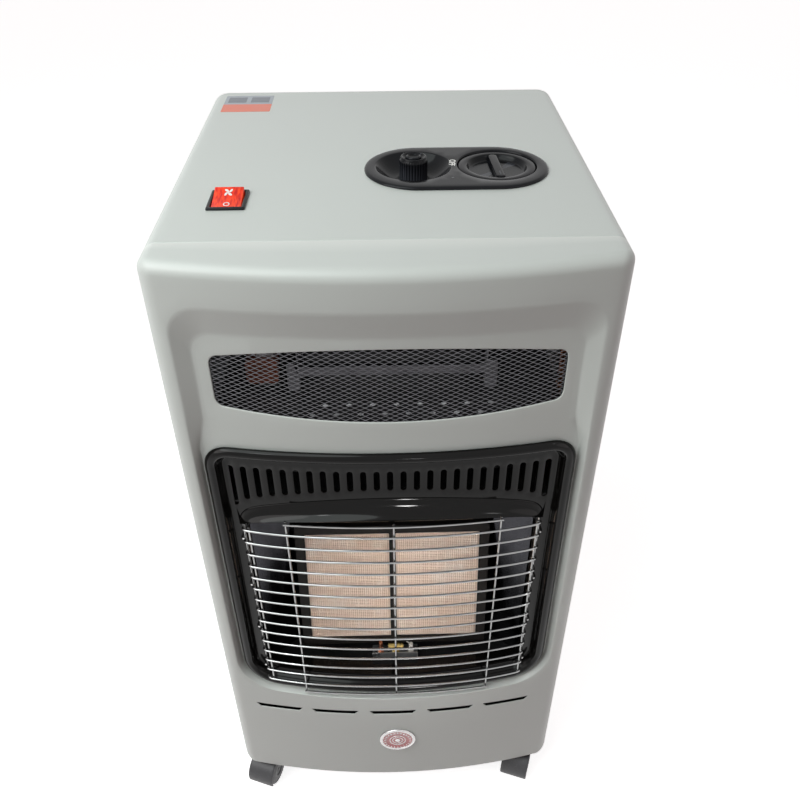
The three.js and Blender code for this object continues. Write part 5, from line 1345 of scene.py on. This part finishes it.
def backdropWhite(tree):  # 1 for rays from the camera, reflections and clear parts
    path = tree.nodes.new("ShaderNodeLightPath")
    total = path.outputs["Is Camera Ray"]
    for key in ("Is Glossy Ray", "Is Transmission Ray"):
        node = tree.nodes.new("ShaderNodeMath")
        node.operation = "MAXIMUM"
        link(tree, total, node.inputs[0])
        link(tree, path.outputs[key], node.inputs[1])
        total = node.outputs[0]
    return total


def makeStudio():
    world = bpy.data.worlds.new("studioWorld")
    bpy.context.scene.world = world
    world.use_nodes = True
    tree = world.node_tree
    background = tree.nodes["Background"]
    shown = backdropWhite(tree)
    link(tree, mixColours(tree, shown, studio["fillColour"], (1.0, 1.0, 1.0)), background.inputs["Color"])
    strength = spread(tree, shown, studio["fill"], 1.0, 0, 1)
    link(tree, strength, background.inputs["Strength"])
    bpy.ops.mesh.primitive_plane_add(size=studio["floorSize"], location=(0, 0, 0))
    floor = bpy.context.object
    floor.name = "studioFloor"
    material, tree, shader = newMaterial("studioFloor")
    shown = backdropWhite(tree)
    seen = mixColours(tree, shown, studio["bounceColour"], studio["floorColour"])
    link(tree, seen, shader.inputs["Base Color"])
    link(tree, spread(tree, shown, 0, studio["floorGlow"], 0, 1), shader.inputs["Emission Strength"])
    shader.inputs["Emission Color"].default_value = (1, 1, 1, 1)
    shader.inputs["Roughness"].default_value = 0.9
    shader.inputs["Specular IOR Level"].default_value = 0.1
    floor.data.materials.append(material)
    for name, lamp in studio["lamps"].items():
        data = bpy.data.lights.new(name, "AREA")
        data.shape = "DISK"
        data.size = lamp["size"]
        data.energy = lamp["power"]
        data.color = lamp["colour"]
        data.spread = math.radians(lamp["spread"])
        light = bpy.data.objects.new(name, data)
        light.location = lamp["place"]
        aim = Vector(lamp["aim"]) - Vector(lamp["place"])
        light.rotation_euler = aim.to_track_quat("-Z", "Y").to_euler()
        bpy.context.scene.collection.objects.link(light)


photoView = {
    "place": (-0.0022, -0.78164, 1.08481), "yaw": 1.5287, "pitch": 38.0841, "roll": -0.1956,
    "focalPixels": 818.1, "centre": (405.0, 414.8), "frame": 800,
}


def makeCamera():
    v = photoView
    data = bpy.data.cameras.new("photoCamera")
    data.sensor_width = 36
    data.lens = v["focalPixels"] / v["frame"] * data.sensor_width
    data.shift_x = -(v["centre"][0] - v["frame"] / 2) / v["frame"]
    data.shift_y = (v["centre"][1] - v["frame"] / 2) / v["frame"]
    data.clip_start = 0.05
    camera = bpy.data.objects.new("photoCamera", data)
    bpy.context.scene.collection.objects.link(camera)
    yaw, pitch = math.radians(v["yaw"]), math.radians(v["pitch"])
    forward = Vector((math.sin(yaw) * math.cos(pitch), math.cos(yaw) * math.cos(pitch), -math.sin(pitch)))
    right = Vector((math.cos(yaw), -math.sin(yaw), 0))
    up = right.cross(forward)
    roll = math.radians(v["roll"])
    x = right * math.cos(roll) + up * math.sin(roll)
    y = up * math.cos(roll) - right * math.sin(roll)
    camera.matrix_world = Matrix((
        (x.x, y.x, -forward.x, v["place"][0]),
        (x.y, y.y, -forward.y, v["place"][1]),
        (x.z, y.z, -forward.z, v["place"][2]),
        (0, 0, 0, 1),
    ))
    bpy.context.scene.camera = camera


makeStudio()
makeCamera()
bpy.context.scene.view_settings.view_transform = "Standard"
